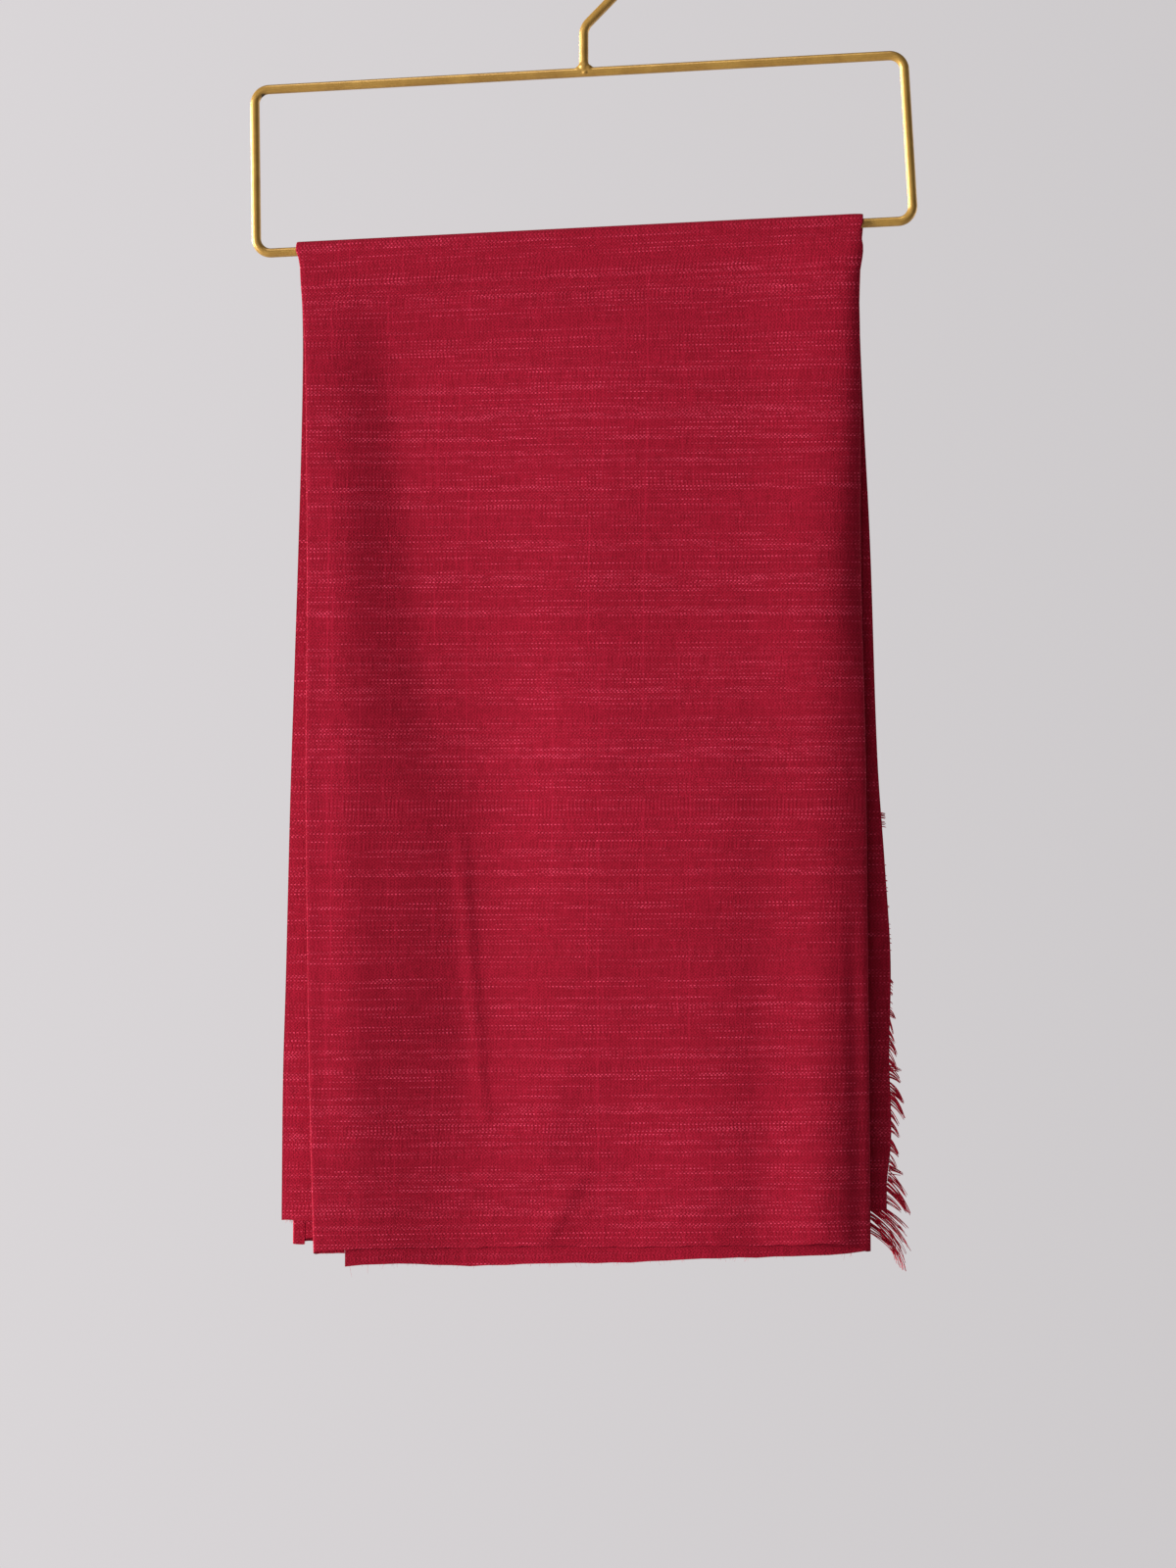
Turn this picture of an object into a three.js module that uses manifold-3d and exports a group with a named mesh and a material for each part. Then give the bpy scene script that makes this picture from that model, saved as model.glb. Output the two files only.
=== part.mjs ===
// A shawl hijab of slub-woven cloth, folded into a flat pack and hung over the lower bar of a gold wire hanger.
// Millimetres, +Z up. The origin is the inside of the hook's crown, and the cloth's front faces -Y.

import * as THREE from "three";
import { mergeVertices } from "three/addons/utils/BufferGeometryUtils.js";
import Module from "manifold-3d";

// Wire of the hanger
const WIRE_R = 2.05;
const WIRE_SIDES = 12;
const GAP = 0.3;

// Hook: a crook over the stem, joined to it by a slanting stretch
const CROOK_R = 22.4;
const CROOK_CENTRE_Z = WIRE_R - CROOK_R;
const CROOK_START_DEG = -45;
const CROOK_END_DEG = 205;
const CROOK_STEPS = 26;
const STEM_BEND_R = 8;
const STEM_BEND_STEPS = 5;
const WIRE_END = { narrowing: 0.6, reach: 0.5 };
const WELD_Z = -71.8;
const WELD_HALF = { x: 3, y: 2.3, z: 2.9 };
const WELD_RISE = 3.2;
const SEAT_LENGTH = 30;

// Frame: a rectangle of wire, a little wider at its lower bar, that hangs tilted at the weld
const FRAME_TILT_DEG = 2.04;
const FRAME_TOP_W = 289.1;
const FRAME_BOTTOM_W = 292.7;
const FRAME_H = 73;
const FRAME_CENTRE_X = -3.28;
const FRAME_CORNER_R = 6.5;
const FRAME_CORNER_STEPS = 7;

// Cloth: each wall stands for one visible ply with the hidden ones pressed against it
const PLY = 1;
const BAR_SLOPE = Math.tan(THREE.MathUtils.degToRad(FRAME_TILT_DEG));
const BAR_Z = WELD_Z - FRAME_H / Math.cos(THREE.MathUtils.degToRad(FRAME_TILT_DEG));
const INNER_R = WIRE_R + GAP + PLY / 2;
const PLY_STEP = PLY + GAP;
const LOOSE_STEP = PLY_STEP + 0.05;
const NOTCH_DROP = 14;
const ARC_STEPS = 8;

// Drops below the bar at which every ply has a row, so that neighbouring plies nest
const DROPS = [
  0, 2.5, 5, 9, 14, 20, 30, 46, 70, 100, 134, 168, 202, 236, 268, 298, 326, 352, 376, 400, 424,
];

// Side edges of each ply: how far left and right it reaches at each drop below the bar
const OUTER_FRONT_EDGES = [
  { drop: 0, left: -128.3, right: 123.2 },
  { drop: 5, left: -126.7, right: 122.7 },
  { drop: 13, left: -125.9, right: 123.2 },
  { drop: 25, left: -125, right: 121.8 },
  { drop: 45, left: -123.9, right: 122 },
  { drop: 75, left: -123.3, right: 122.3 },
  { drop: 150, left: -122.5, right: 122.4 },
  { drop: 235, left: -122.9, right: 124.5 },
  { drop: 305, left: -122.2, right: 125.3 },
  { drop: 385, left: -120.9, right: 126.2 },
  { drop: 455, left: -119.1, right: 126.8 },
];
const OUTER_REAR_EDGES = [
  { drop: 0, left: -128.3, right: 123.2 },
  { drop: 13, left: -127, right: 122.2 },
  { drop: 45, left: -126, right: 121.4 },
  { drop: 150, left: -127.6, right: 122 },
  { drop: 300, left: -130, right: 122.6 },
  { drop: 455, left: -131.5, right: 121.6 },
];
const INNER_FRONT_EDGES = [
  { drop: 0, left: -128, right: 122.6 },
  { drop: 25, left: -124.4, right: 120.6 },
  { drop: 150, left: -120.5, right: 119.5 },
  { drop: 455, left: -116.5, right: 121.5 },
];
const INNER_REAR_EDGES = [
  { drop: 0, left: -128, right: 122.6 },
  { drop: 12, left: -127.6, right: 122 },
  { drop: 24, left: -126.8, right: 121.6 },
  { drop: 44, left: -126.5, right: 121.9 },
  { drop: 80, left: -127.1, right: 123.4 },
  { drop: 141, left: -128.9, right: 126.5 },
  { drop: 235, left: -132.1, right: 129.7 },
  { drop: 283, left: -133.4, right: 133 },
  { drop: 325, left: -134.5, right: 135.5 },
  { drop: 370, left: -135.8, right: 134.9 },
  { drop: 404, left: -136.2, right: 135.8 },
  { drop: 435, left: -136.5, right: 133.8 },
];

// Lower edges: the drop of each ply's bottom at places across it
const FRONT_HEM = [
  { x: -120, drop: 445.9 },
  { x: -108, drop: 446.3 },
  { x: -98, drop: 444.8 },
  { x: -15, drop: 445.9 },
  { x: 46, drop: 447 },
  { x: 107, drop: 447.2 },
  { x: 114, drop: 447.8 },
  { x: 124.5, drop: 451.4 },
];
const TURNED_HEM = [
  { x: -106, drop: 452.2 },
  { x: -82, drop: 452.2 },
  { x: -46, drop: 453.8 },
  { x: 20, drop: 453.6 },
  { x: 92, drop: 452.4 },
  { x: 110, drop: 452.8 },
  { x: 126, drop: 451.8 },
];
const REAR_HEM = [
  { x: -132, drop: 443.4 },
  { x: -127, drop: 442.2 },
  { x: 0, drop: 442.8 },
  { x: 124, drop: 442.4 },
];
const REAR_TURNED_DROP = 440.6;
const INNER_FRONT_DROP = 441;
const INNER_REAR_HEM = [
  { x: -137, drop: 432.7 },
  { x: 134, drop: 434.8 },
];

// The turned-under plies stop short of the left edge
const TURNED_FRONT_LEFT = -105.5;
const TURNED_REAR_LEFT = -130.6;

// Fold at the right: tight under the bar, an open loop at the hem
const TURN_R_TOP = 0.85;
const TURN_R_HEM = 2.1;
const TURN_OPENS = { from: 60, to: 440 };
const TURN_REACH = 26;
const ROOM_FROM = 2;

// Shape of each hanging side: how far it stands off, and its broad waves
const FRONT_SWAY = { open: 4.6, fade: 150, wide: 1.5, wideLength: 168, widePhase: 0.5, fine: 0.5, fineLength: 76 };
const REAR_SWAY = { open: 3.4, fade: 190, wide: 1.2, wideLength: 190, widePhase: 2.4, fine: 0.45, fineLength: 83 };
const SWAY_FROM = 16;
const SWAY_FULL = 280;
const FINE_WAVE_DRIFT = 140;

// Creases that all plies of a side share: broad troughs, and the bend of the pack at its closed edge
const FRONT_CREASES = [
  { x: -90, lean: 0.115, from: 0, to: 262, left: 20, right: 58, depth: -4.2, ease: 62 },
  { x: 127.5, lean: 0, from: 4, to: 210, left: 8, right: 40, depth: -1.6, ease: 45 },
  { x: -43, lean: 0, from: 176, to: 430, left: 30, right: 60, depth: -2.8, ease: 90 },
  { x: 0, lean: 0, from: 320, to: 640, left: 62, right: 64, depth: -3.2, ease: 90 },
  { x: 129, lean: 0, from: 30, to: 640, left: 15, right: 40, depth: -3.6, ease: 140 },
  { x: 131, lean: 0, from: 320, to: 700, left: 17, right: 40, depth: -2.2, ease: 100 },
  { x: 30, lean: -0.05, from: 60, to: 330, left: 34, right: 60, depth: -0.9, ease: 80 },
];
const REAR_CREASES = [
  { x: 88, lean: 0.01, from: 14, to: 250, left: 40, right: 16, depth: -2, ease: 60 },
  { x: 40, lean: -0.03, from: 240, to: 430, left: 18, right: 30, depth: -1.4, ease: 60 },
  { x: 127, lean: 0, from: 6, to: 560, left: 15, right: 40, depth: -1.6, ease: 110 },
  { x: -92, lean: 0.02, from: 180, to: 520, left: 22, right: 34, depth: -1.5, ease: 60 },
];

// Creases that only the outer ply has
const FRONT_OWN_CREASES = [
  { x: -109, lean: 0.02, from: 50, to: 455, left: 11, right: 13, depth: 1.15, ease: 90 },
  { x: 118.3, lean: 0.024, from: 285, to: 560, left: 4.6, right: 5, depth: -0.7, ease: 60 },
];
const REAR_OWN_CREASES = [
  { x: 112, lean: 0.01, from: 220, to: 420, left: 8, right: 6, depth: 1, ease: 40 },
  { x: -40, lean: 0.03, from: 150, to: 400, left: 9, right: 12, depth: 0.8, ease: 40 },
];

// Fringe of the frayed end, on the inner rear ply's right edge
const FRINGE_FROM = 328;
const FRINGE_STRIP_W = 1.4;
const FRINGE_STATIONS = 12;
const FRINGE_SEED = 43;
const FRINGE_CORNER_REACH = 6.8;
const FRINGE_EDGE_LOCKS = 42;
const FRINGE_EDGE_LENGTH = { short: 2.2, long: 11 };
const FRINGE_CORNER_LOCKS = 11;
const FRINGE_CORNER_LENGTH = { short: 10, long: 24 };
const FRINGE_CLUMPS = { share: 0.22, turns: 37, phase: 1.2 };
const LOCK_ROOT_R = 0.5;
const LOCK_TIP_R = 0.16;
const LOCK_SIDES = 3;
const LOCK_STEPS = 4;

const clamp01 = (value) => Math.min(1, Math.max(0, value));

function smooth(from, to, value) {
  const t = clamp01((value - from) / (to - from));
  return t * t * (3 - 2 * t);
}

// Reads a column of a table at a place between its rows, easing through each row
function readTable(table, key, column, value) {
  const last = table.length - 1;
  if (value <= table[0][key]) {
    return table[0][column];
  }
  if (value >= table[last][key]) {
    return table[last][column];
  }
  const i = table.findIndex((row) => row[key] > value) - 1;
  const [a, b] = [table[i], table[i + 1]];
  const before = table[Math.max(0, i - 1)];
  const after = table[Math.min(last, i + 2)];
  const span = b[key] - a[key];
  const slopeA = ((b[column] - before[column]) / (b[key] - before[key])) * span;
  const slopeB = ((after[column] - a[column]) / (after[key] - a[key])) * span;
  const t = (value - a[key]) / span;
  const [t2, t3] = [t * t, t * t * t];
  return (
    (2 * t3 - 3 * t2 + 1) * a[column] +
    (t3 - 2 * t2 + t) * slopeA +
    (3 * t2 - 2 * t3) * b[column] +
    (t3 - t2) * slopeB
  );
}

// Height of the soft creases of one side at a point of it
function creaseHeight(creases, x, drop) {
  let height = 0;
  for (const crease of creases) {
    const across = x - crease.x - crease.lean * (drop - crease.from);
    const share = across / (across < 0 ? crease.left : crease.right);
    const fadeIn = smooth(crease.from, crease.from + crease.ease, drop);
    const fadeOut = 1 - smooth(crease.to - crease.ease, crease.to, drop);
    height += crease.depth * fadeIn * fadeOut * Math.exp(-share * share);
  }
  return height;
}

// How far the ply nearest the bar stands from the bar's own plane
function innerHeight(side, x, drop) {
  const grow = smooth(SWAY_FROM, SWAY_FULL, drop);
  const { open, fade, wide, wideLength, widePhase, fine, fineLength } = side.sway;
  const stand = open * (1 - Math.exp((-drop * drop) / (fade * (fade * 0.5 + drop))));
  const broad = wide * Math.sin((2 * Math.PI * x) / wideLength + widePhase);
  const small = fine * Math.sin((2 * Math.PI * x) / fineLength + drop / FINE_WAVE_DRIFT);
  return INNER_R + stand + grow * (broad + small) + creaseHeight(side.shared, x, drop);
}

const turnRadius = (drop) =>
  TURN_R_TOP + (TURN_R_HEM - TURN_R_TOP) * smooth(TURN_OPENS.from, TURN_OPENS.to, drop);

// Height of the ply that is turned under the outer one
const turnedHeight = (side, x, drop) => innerHeight(side, x, drop) + LOOSE_STEP;

// Height of the outer ply: it lies on the inner one over the bar and makes room for the turned ply below
function outerHeight(side, x, drop) {
  const right = readTable(side.outerEdges, "drop", "right", drop) - turnRadius(drop);
  const loop = (2 * turnRadius(drop) - PLY_STEP) * smooth(right - TURN_REACH, right, x);
  const room = smooth(ROOM_FROM, NOTCH_DROP, drop) * (LOOSE_STEP + loop);
  return innerHeight(side, x, drop) + PLY_STEP + room + creaseHeight(side.own, x, drop);
}

const FRONT = {
  outerEdges: OUTER_FRONT_EDGES,
  innerEdges: INNER_FRONT_EDGES,
  sway: FRONT_SWAY,
  shared: FRONT_CREASES,
  own: FRONT_OWN_CREASES,
  hem: (x) => readTable(FRONT_HEM, "x", "drop", x),
  turnedHem: (x) => readTable(TURNED_HEM, "x", "drop", x),
  innerHem: () => INNER_FRONT_DROP,
  turnedLeft: TURNED_FRONT_LEFT,
};
const REAR = {
  outerEdges: OUTER_REAR_EDGES,
  innerEdges: INNER_REAR_EDGES,
  sway: REAR_SWAY,
  shared: REAR_CREASES,
  own: REAR_OWN_CREASES,
  hem: (x) => readTable(REAR_HEM, "x", "drop", x),
  turnedHem: () => REAR_TURNED_DROP,
  innerHem: (x) => readTable(INNER_REAR_HEM, "x", "drop", x),
  turnedLeft: TURNED_REAR_LEFT,
};

// Rows along the cloth: up the front from its hem, over the bar in an arc, and down the rear
function drapeRows() {
  const rows = [{ side: FRONT, drop: null, turn: 0 }];
  for (const drop of [...DROPS].reverse()) {
    rows.push({ side: FRONT, drop, turn: 0 });
  }
  for (let step = 1; step < ARC_STEPS; step += 1) {
    rows.push({ side: step * 2 <= ARC_STEPS ? FRONT : REAR, drop: 0, turn: (Math.PI * step) / ARC_STEPS });
  }
  for (const drop of DROPS) {
    rows.push({ side: REAR, drop, turn: Math.PI });
  }
  rows.push({ side: REAR, drop: null, turn: Math.PI });
  return rows;
}

// Puts a point of a ply's section, at x and a height off the bar's plane, on the drape
function place(row, x, height, drop) {
  const y = -height * Math.cos(row.turn);
  const z = BAR_Z + BAR_SLOPE * x + height * Math.sin(row.turn) - drop;
  return [x, y, z];
}

// Offsets a section line to both sides by half the wall
function thicken(line) {
  return line.map((point, i) => {
    const before = line[Math.max(0, i - 1)];
    const after = line[Math.min(line.length - 1, i + 1)];
    const dx = after.x - before.x;
    const dh = after.height - before.height;
    const scale = PLY / 2 / Math.hypot(dx, dh);
    return {
      out: { x: point.x - dh * scale, height: point.height + dx * scale },
      in: { x: point.x + dh * scale, height: point.height - dx * scale },
      drop: point.drop,
    };
  });
}

// Closed wall from two matching grids of points, with a rim wherever a cell has no neighbour
function wallGeometry(outer, inner, hasCell) {
  const rows = outer.length;
  const columns = outer[0].length;
  const positions = [...outer.flat(), ...inner.flat()].flat();
  const at = (row, column, layer) => layer * rows * columns + row * columns + column;
  const faces = [];
  const quad = (a, b, c, d) => faces.push(a, b, c, a, c, d);
  const filled = (row, column) =>
    row >= 0 && column >= 0 && row < rows - 1 && column < columns - 1 && hasCell(row, column);
  for (let row = 0; row < rows - 1; row += 1) {
    for (let column = 0; column < columns - 1; column += 1) {
      if (!filled(row, column)) {
        continue;
      }
      const corners = [
        [row, column],
        [row, column + 1],
        [row + 1, column + 1],
        [row + 1, column],
      ];
      quad(...corners.map(([r, c]) => at(r, c, 0)));
      quad(...corners.map(([r, c]) => at(r, c, 1)).reverse());
      const neighbours = [
        [row - 1, column],
        [row, column + 1],
        [row + 1, column],
        [row, column - 1],
      ];
      neighbours.forEach(([r, c], side) => {
        if (!filled(r, c)) {
          const from = corners[side];
          const to = corners[(side + 1) % 4];
          quad(at(...from, 1), at(...to, 1), at(...to, 0), at(...from, 0));
        }
      });
    }
  }
  const geometry = new THREE.BufferGeometry();
  geometry.setAttribute("position", new THREE.Float32BufferAttribute(positions, 3));
  geometry.setIndex(faces);
  return geometry;
}

// Places across that every ply has besides its own edges, so that neighbouring plies nest
const STATIONS = [
  -110, -102, -95, -88, -82, -76, -70, -64, -57, -50, -40, -29, -17, -5, 7, 19, 31, 43, 55, 67, 79, 89, 98, 106,
  112, 117,
];
const STATION_ROOM = 2;
const PLY_COLUMNS = STATIONS.length + 4;
const TURN_STEPS = 6;

// A ply's places from its left edge to its right one, with more between its edges and the stations inside it
function placesAcross(left, right) {
  const inside = STATIONS.filter((x) => x > left + STATION_ROOM && x < right - STATION_ROOM);
  const before = PLY_COLUMNS - 2 - inside.length;
  const places = [];
  for (let i = 0; i < before; i += 1) {
    places.push(left + ((inside[0] - left) * i) / before);
  }
  const after = (inside[inside.length - 1] + right) / 2;
  return [...places, ...inside, after, right];
}

function outerSection(row) {
  const { side } = row;
  const line = [];
  const level = row.drop ?? side.hem(0);
  const left = readTable(side.outerEdges, "drop", "left", level);
  const radius = turnRadius(level);
  const right = readTable(side.outerEdges, "drop", "right", level) - radius;
  for (const x of placesAcross(left, right)) {
    const drop = row.drop ?? side.hem(x);
    line.push({ x, height: outerHeight(side, x, drop), drop });
  }
  const top = line[line.length - 1];
  const under = turnedHeight(side, right, level);
  const middle = (top.height + under) / 2;
  const reach = (top.height - under) / 2;
  const hemUnder = row.drop ?? side.turnedHem(right);
  for (let i = 1; i < TURN_STEPS; i += 1) {
    const angle = (Math.PI * i) / TURN_STEPS;
    line.push({
      x: right + radius * Math.sin(angle),
      height: middle + reach * Math.cos(angle),
      drop: top.drop + ((hemUnder - top.drop) * i) / TURN_STEPS,
    });
  }
  for (const x of placesAcross(Math.max(side.turnedLeft, left + 1), right).reverse()) {
    const drop = row.drop ?? side.turnedHem(x);
    line.push({ x, height: turnedHeight(side, x, drop), drop });
  }
  return line;
}

function innerSection(row) {
  const { side } = row;
  const level = row.drop ?? side.innerHem(0);
  const left = readTable(side.innerEdges, "drop", "left", level);
  const right = readTable(side.innerEdges, "drop", "right", level);
  return placesAcross(left, right).map((x) => {
    const drop = row.drop ?? side.innerHem(x);
    return { x, height: innerHeight(side, x, drop), drop };
  });
}

// Lofts a wall through the sections of all rows
function drapeWall(section, hasCell) {
  const rows = drapeRows();
  const faces = rows.map((row) => thicken(section(row)));
  const grid = (layer) =>
    faces.map((line, i) =>
      line.map((point) => place(rows[i], point[layer].x, point[layer].height, point.drop)),
    );
  return wallGeometry(grid("out"), grid("in"), (row, column) => hasCell(rows, row, column));
}

// The turned-under ply starts below the bar, where the outer one has made room for it
function outerHasCell(rows, row, column) {
  if (column < PLY_COLUMNS - 1) {
    return true;
  }
  const below = (station) => station.drop === null || station.drop >= NOTCH_DROP;
  return below(rows[row]) && below(rows[row + 1]);
}

// A round wire through points that all lie in the XZ plane, closed on itself or with domed ends
function wireGeometry(points, closed) {
  const rings = points.map((point, i) => {
    const before = points[closed ? (i + points.length - 1) % points.length : Math.max(0, i - 1)];
    const after = points[closed ? (i + 1) % points.length : Math.min(points.length - 1, i + 1)];
    const along = after.clone().sub(before).normalize();
    return { point, side: new THREE.Vector2(along.y, -along.x), radius: WIRE_R };
  });
  if (!closed) {
    const [first, last] = [rings[0], rings[rings.length - 1]];
    first.radius = WIRE_R * WIRE_END.narrowing;
    last.radius = WIRE_R * WIRE_END.narrowing;
  }
  const positions = [];
  for (const { point, side, radius } of rings) {
    for (let k = 0; k < WIRE_SIDES; k += 1) {
      const angle = (2 * Math.PI * k) / WIRE_SIDES;
      const out = radius * Math.cos(angle);
      positions.push(point.x + side.x * out, radius * Math.sin(angle), point.y + side.y * out);
    }
  }
  const faces = [];
  const at = (ring, k) => (ring % rings.length) * WIRE_SIDES + (k % WIRE_SIDES);
  const spans = closed ? rings.length : rings.length - 1;
  for (let ring = 0; ring < spans; ring += 1) {
    for (let k = 0; k < WIRE_SIDES; k += 1) {
      faces.push(at(ring, k), at(ring, k + 1), at(ring + 1, k + 1));
      faces.push(at(ring, k), at(ring + 1, k + 1), at(ring + 1, k));
    }
  }
  if (!closed) {
    for (let k = 1; k < WIRE_SIDES - 1; k += 1) {
      faces.push(at(0, 0), at(0, k + 1), at(0, k));
      faces.push(at(rings.length - 1, 0), at(rings.length - 1, k), at(rings.length - 1, k + 1));
    }
  }
  const geometry = new THREE.BufferGeometry();
  geometry.setAttribute("position", new THREE.Float32BufferAttribute(positions, 3));
  geometry.setIndex(faces);
  return geometry;
}

// Points of a path with its corners rounded by arcs
function roundedPath(corners, radius, closed, arcSteps) {
  const points = [];
  corners.forEach((corner, i) => {
    const isEnd = !closed && (i === 0 || i === corners.length - 1);
    if (isEnd) {
      points.push(corner.clone());
      return;
    }
    const before = corners[(i + corners.length - 1) % corners.length];
    const after = corners[(i + 1) % corners.length];
    const toBefore = before.clone().sub(corner).normalize();
    const toAfter = after.clone().sub(corner).normalize();
    const half = Math.acos(THREE.MathUtils.clamp(toBefore.dot(toAfter), -1, 1)) / 2;
    const middle = toBefore.clone().add(toAfter).normalize();
    const centre = corner.clone().addScaledVector(middle, radius / Math.sin(half));
    const start = corner.clone().addScaledVector(toBefore, radius / Math.tan(half)).sub(centre);
    const end = corner.clone().addScaledVector(toAfter, radius / Math.tan(half)).sub(centre);
    const turn = Math.atan2(start.cross(end), start.dot(end));
    for (let step = 0; step <= arcSteps; step += 1) {
      const angle = (turn * step) / arcSteps;
      points.push(start.clone().rotateAround(new THREE.Vector2(), angle).add(centre));
    }
  });
  return points;
}

function frameGeometry() {
  const tilt = THREE.MathUtils.degToRad(FRAME_TILT_DEG);
  const weld = new THREE.Vector2(0, WELD_Z);
  const corners = [
    [-FRAME_TOP_W / 2, 0],
    [-FRAME_BOTTOM_W / 2, -FRAME_H],
    [FRAME_BOTTOM_W / 2, -FRAME_H],
    [FRAME_TOP_W / 2, 0],
  ].map(([x, z]) => new THREE.Vector2(x + FRAME_CENTRE_X, WELD_Z + z).rotateAround(weld, tilt));
  return wireGeometry(roundedPath(corners, FRAME_CORNER_R, true, FRAME_CORNER_STEPS), true);
}

function hookPath() {
  const centre = new THREE.Vector2(0, CROOK_CENTRE_Z);
  const slantZ = CROOK_CENTRE_Z - CROOK_R * Math.SQRT2;
  const onCrook = (degrees) => {
    const angle = THREE.MathUtils.degToRad(degrees);
    return new THREE.Vector2(Math.cos(angle), Math.sin(angle)).multiplyScalar(CROOK_R).add(centre);
  };
  const stem = [
    new THREE.Vector2(0, WELD_Z + WIRE_R + GAP),
    new THREE.Vector2(0, slantZ),
    onCrook(CROOK_START_DEG),
  ];
  const points = roundedPath(stem, STEM_BEND_R, false, STEM_BEND_STEPS);
  for (let step = 1; step <= CROOK_STEPS; step += 1) {
    points.push(onCrook(CROOK_START_DEG + ((CROOK_END_DEG - CROOK_START_DEG) * step) / CROOK_STEPS));
  }
  const end = points[points.length - 1];
  const along = end.clone().sub(points[points.length - 2]).normalize();
  points.push(end.clone().addScaledVector(along, WIRE_R * WIRE_END.reach));
  return points;
}

const wasm = await Module();
wasm.setup();

function toSolid(geometry) {
  const bare = geometry.clone();
  bare.deleteAttribute("normal");
  bare.deleteAttribute("uv");
  const merged = mergeVertices(bare, 1e-4);
  return new wasm.Manifold(
    new wasm.Mesh({
      numProp: 3,
      vertProperties: new Float32Array(merged.attributes.position.array),
      triVerts: new Uint32Array(merged.index.array),
    }),
  );
}

function toGeometry(solid) {
  const mesh = solid.getMesh();
  const geometry = new THREE.BufferGeometry();
  geometry.setAttribute("position", new THREE.BufferAttribute(new Float32Array(mesh.vertProperties), 3));
  geometry.setIndex(new THREE.BufferAttribute(new Uint32Array(mesh.triVerts), 1));
  return geometry;
}

// Stem and crook with the weld bead, which sits on the frame's upper bar
function hookGeometry() {
  const bead = new THREE.SphereGeometry(1, 14, 10);
  bead.scale(WELD_HALF.x, WELD_HALF.y, WELD_HALF.z);
  bead.translate(0, 0, WELD_Z + WELD_RISE);
  const seat = new THREE.CylinderGeometry(WIRE_R + GAP, WIRE_R + GAP, SEAT_LENGTH, 24);
  seat.rotateZ(Math.PI / 2);
  seat.rotateY(-THREE.MathUtils.degToRad(FRAME_TILT_DEG));
  seat.translate(0, 0, WELD_Z);
  const wire = toSolid(wireGeometry(hookPath(), false));
  return toGeometry(wire.add(toSolid(bead)).subtract(toSolid(seat)));
}

// Repeatable uneven values between 0 and 1
function unevenValues(seed) {
  let state = seed;
  return () => {
    state = (state * 1103515245 + 12345) % 2147483648;
    return state / 2147483648;
  };
}

// Where the frayed edge runs: the inner rear ply's right edge, moved out by a distance
function frayedEdge(drop, out) {
  const x = readTable(INNER_REAR_EDGES, "drop", "right", drop) + out;
  return new THREE.Vector3(x, innerHeight(REAR, x, drop), BAR_Z + BAR_SLOPE * x - drop);
}

// Narrow strip along the frayed edge and round its lower corner, which carries the fringe
function fringeStrip(hemDrop) {
  const inside = GAP;
  const outside = GAP + FRINGE_STRIP_W;
  const stations = [];
  for (let i = 0; i <= FRINGE_STATIONS; i += 1) {
    const drop = FRINGE_FROM + ((hemDrop - FRINGE_FROM) * i) / FRINGE_STATIONS;
    stations.push([frayedEdge(drop, inside), frayedEdge(drop, outside)]);
  }
  stations.push([frayedEdge(hemDrop + inside, inside), frayedEdge(hemDrop + outside, outside)]);
  const corner = [inside, outside].map((out) => frayedEdge(hemDrop + out, -FRINGE_CORNER_REACH));
  stations.push(corner);
  const layer = (offset) =>
    stations.map((pair) => pair.map((point) => [point.x, point.y + offset, point.z]));
  return wallGeometry(layer(PLY / 2), layer(-PLY / 2), () => true);
}

// A lock of threads: a tapering tube that starts out from the edge and droops
function lockGeometry(root, aim, droop, length) {
  const points = [];
  const direction = aim.clone().normalize();
  const point = root.clone();
  for (let step = 0; step <= LOCK_STEPS; step += 1) {
    points.push(point.clone());
    direction.z -= droop / LOCK_STEPS;
    direction.normalize();
    point.addScaledVector(direction, length / LOCK_STEPS);
  }
  const positions = [];
  points.forEach((middle, i) => {
    const next = points[Math.min(i + 1, LOCK_STEPS)];
    const before = points[Math.max(i - 1, 0)];
    const along = next.clone().sub(before).normalize();
    const across = new THREE.Vector3(0, 1, 0).cross(along).normalize();
    const radius = LOCK_ROOT_R + ((LOCK_TIP_R - LOCK_ROOT_R) * i) / LOCK_STEPS;
    for (let k = 0; k < LOCK_SIDES; k += 1) {
      const angle = (2 * Math.PI * k) / LOCK_SIDES;
      const corner = middle
        .clone()
        .addScaledVector(across, radius * Math.cos(angle))
        .addScaledVector(new THREE.Vector3(0, 1, 0), radius * Math.sin(angle));
      positions.push(corner.x, corner.y, corner.z);
    }
  });
  const last = LOCK_STEPS * LOCK_SIDES;
  const faces = [0, 2, 1, last, last + 1, last + 2];
  for (let step = 0; step < LOCK_STEPS; step += 1) {
    for (let k = 0; k < LOCK_SIDES; k += 1) {
      const a = step * LOCK_SIDES + k;
      const b = step * LOCK_SIDES + ((k + 1) % LOCK_SIDES);
      faces.push(a, b, b + LOCK_SIDES);
      faces.push(a, b + LOCK_SIDES, a + LOCK_SIDES);
    }
  }
  const geometry = new THREE.BufferGeometry();
  geometry.setAttribute("position", new THREE.Float32BufferAttribute(positions, 3));
  geometry.setIndex(faces);
  return geometry;
}

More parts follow.
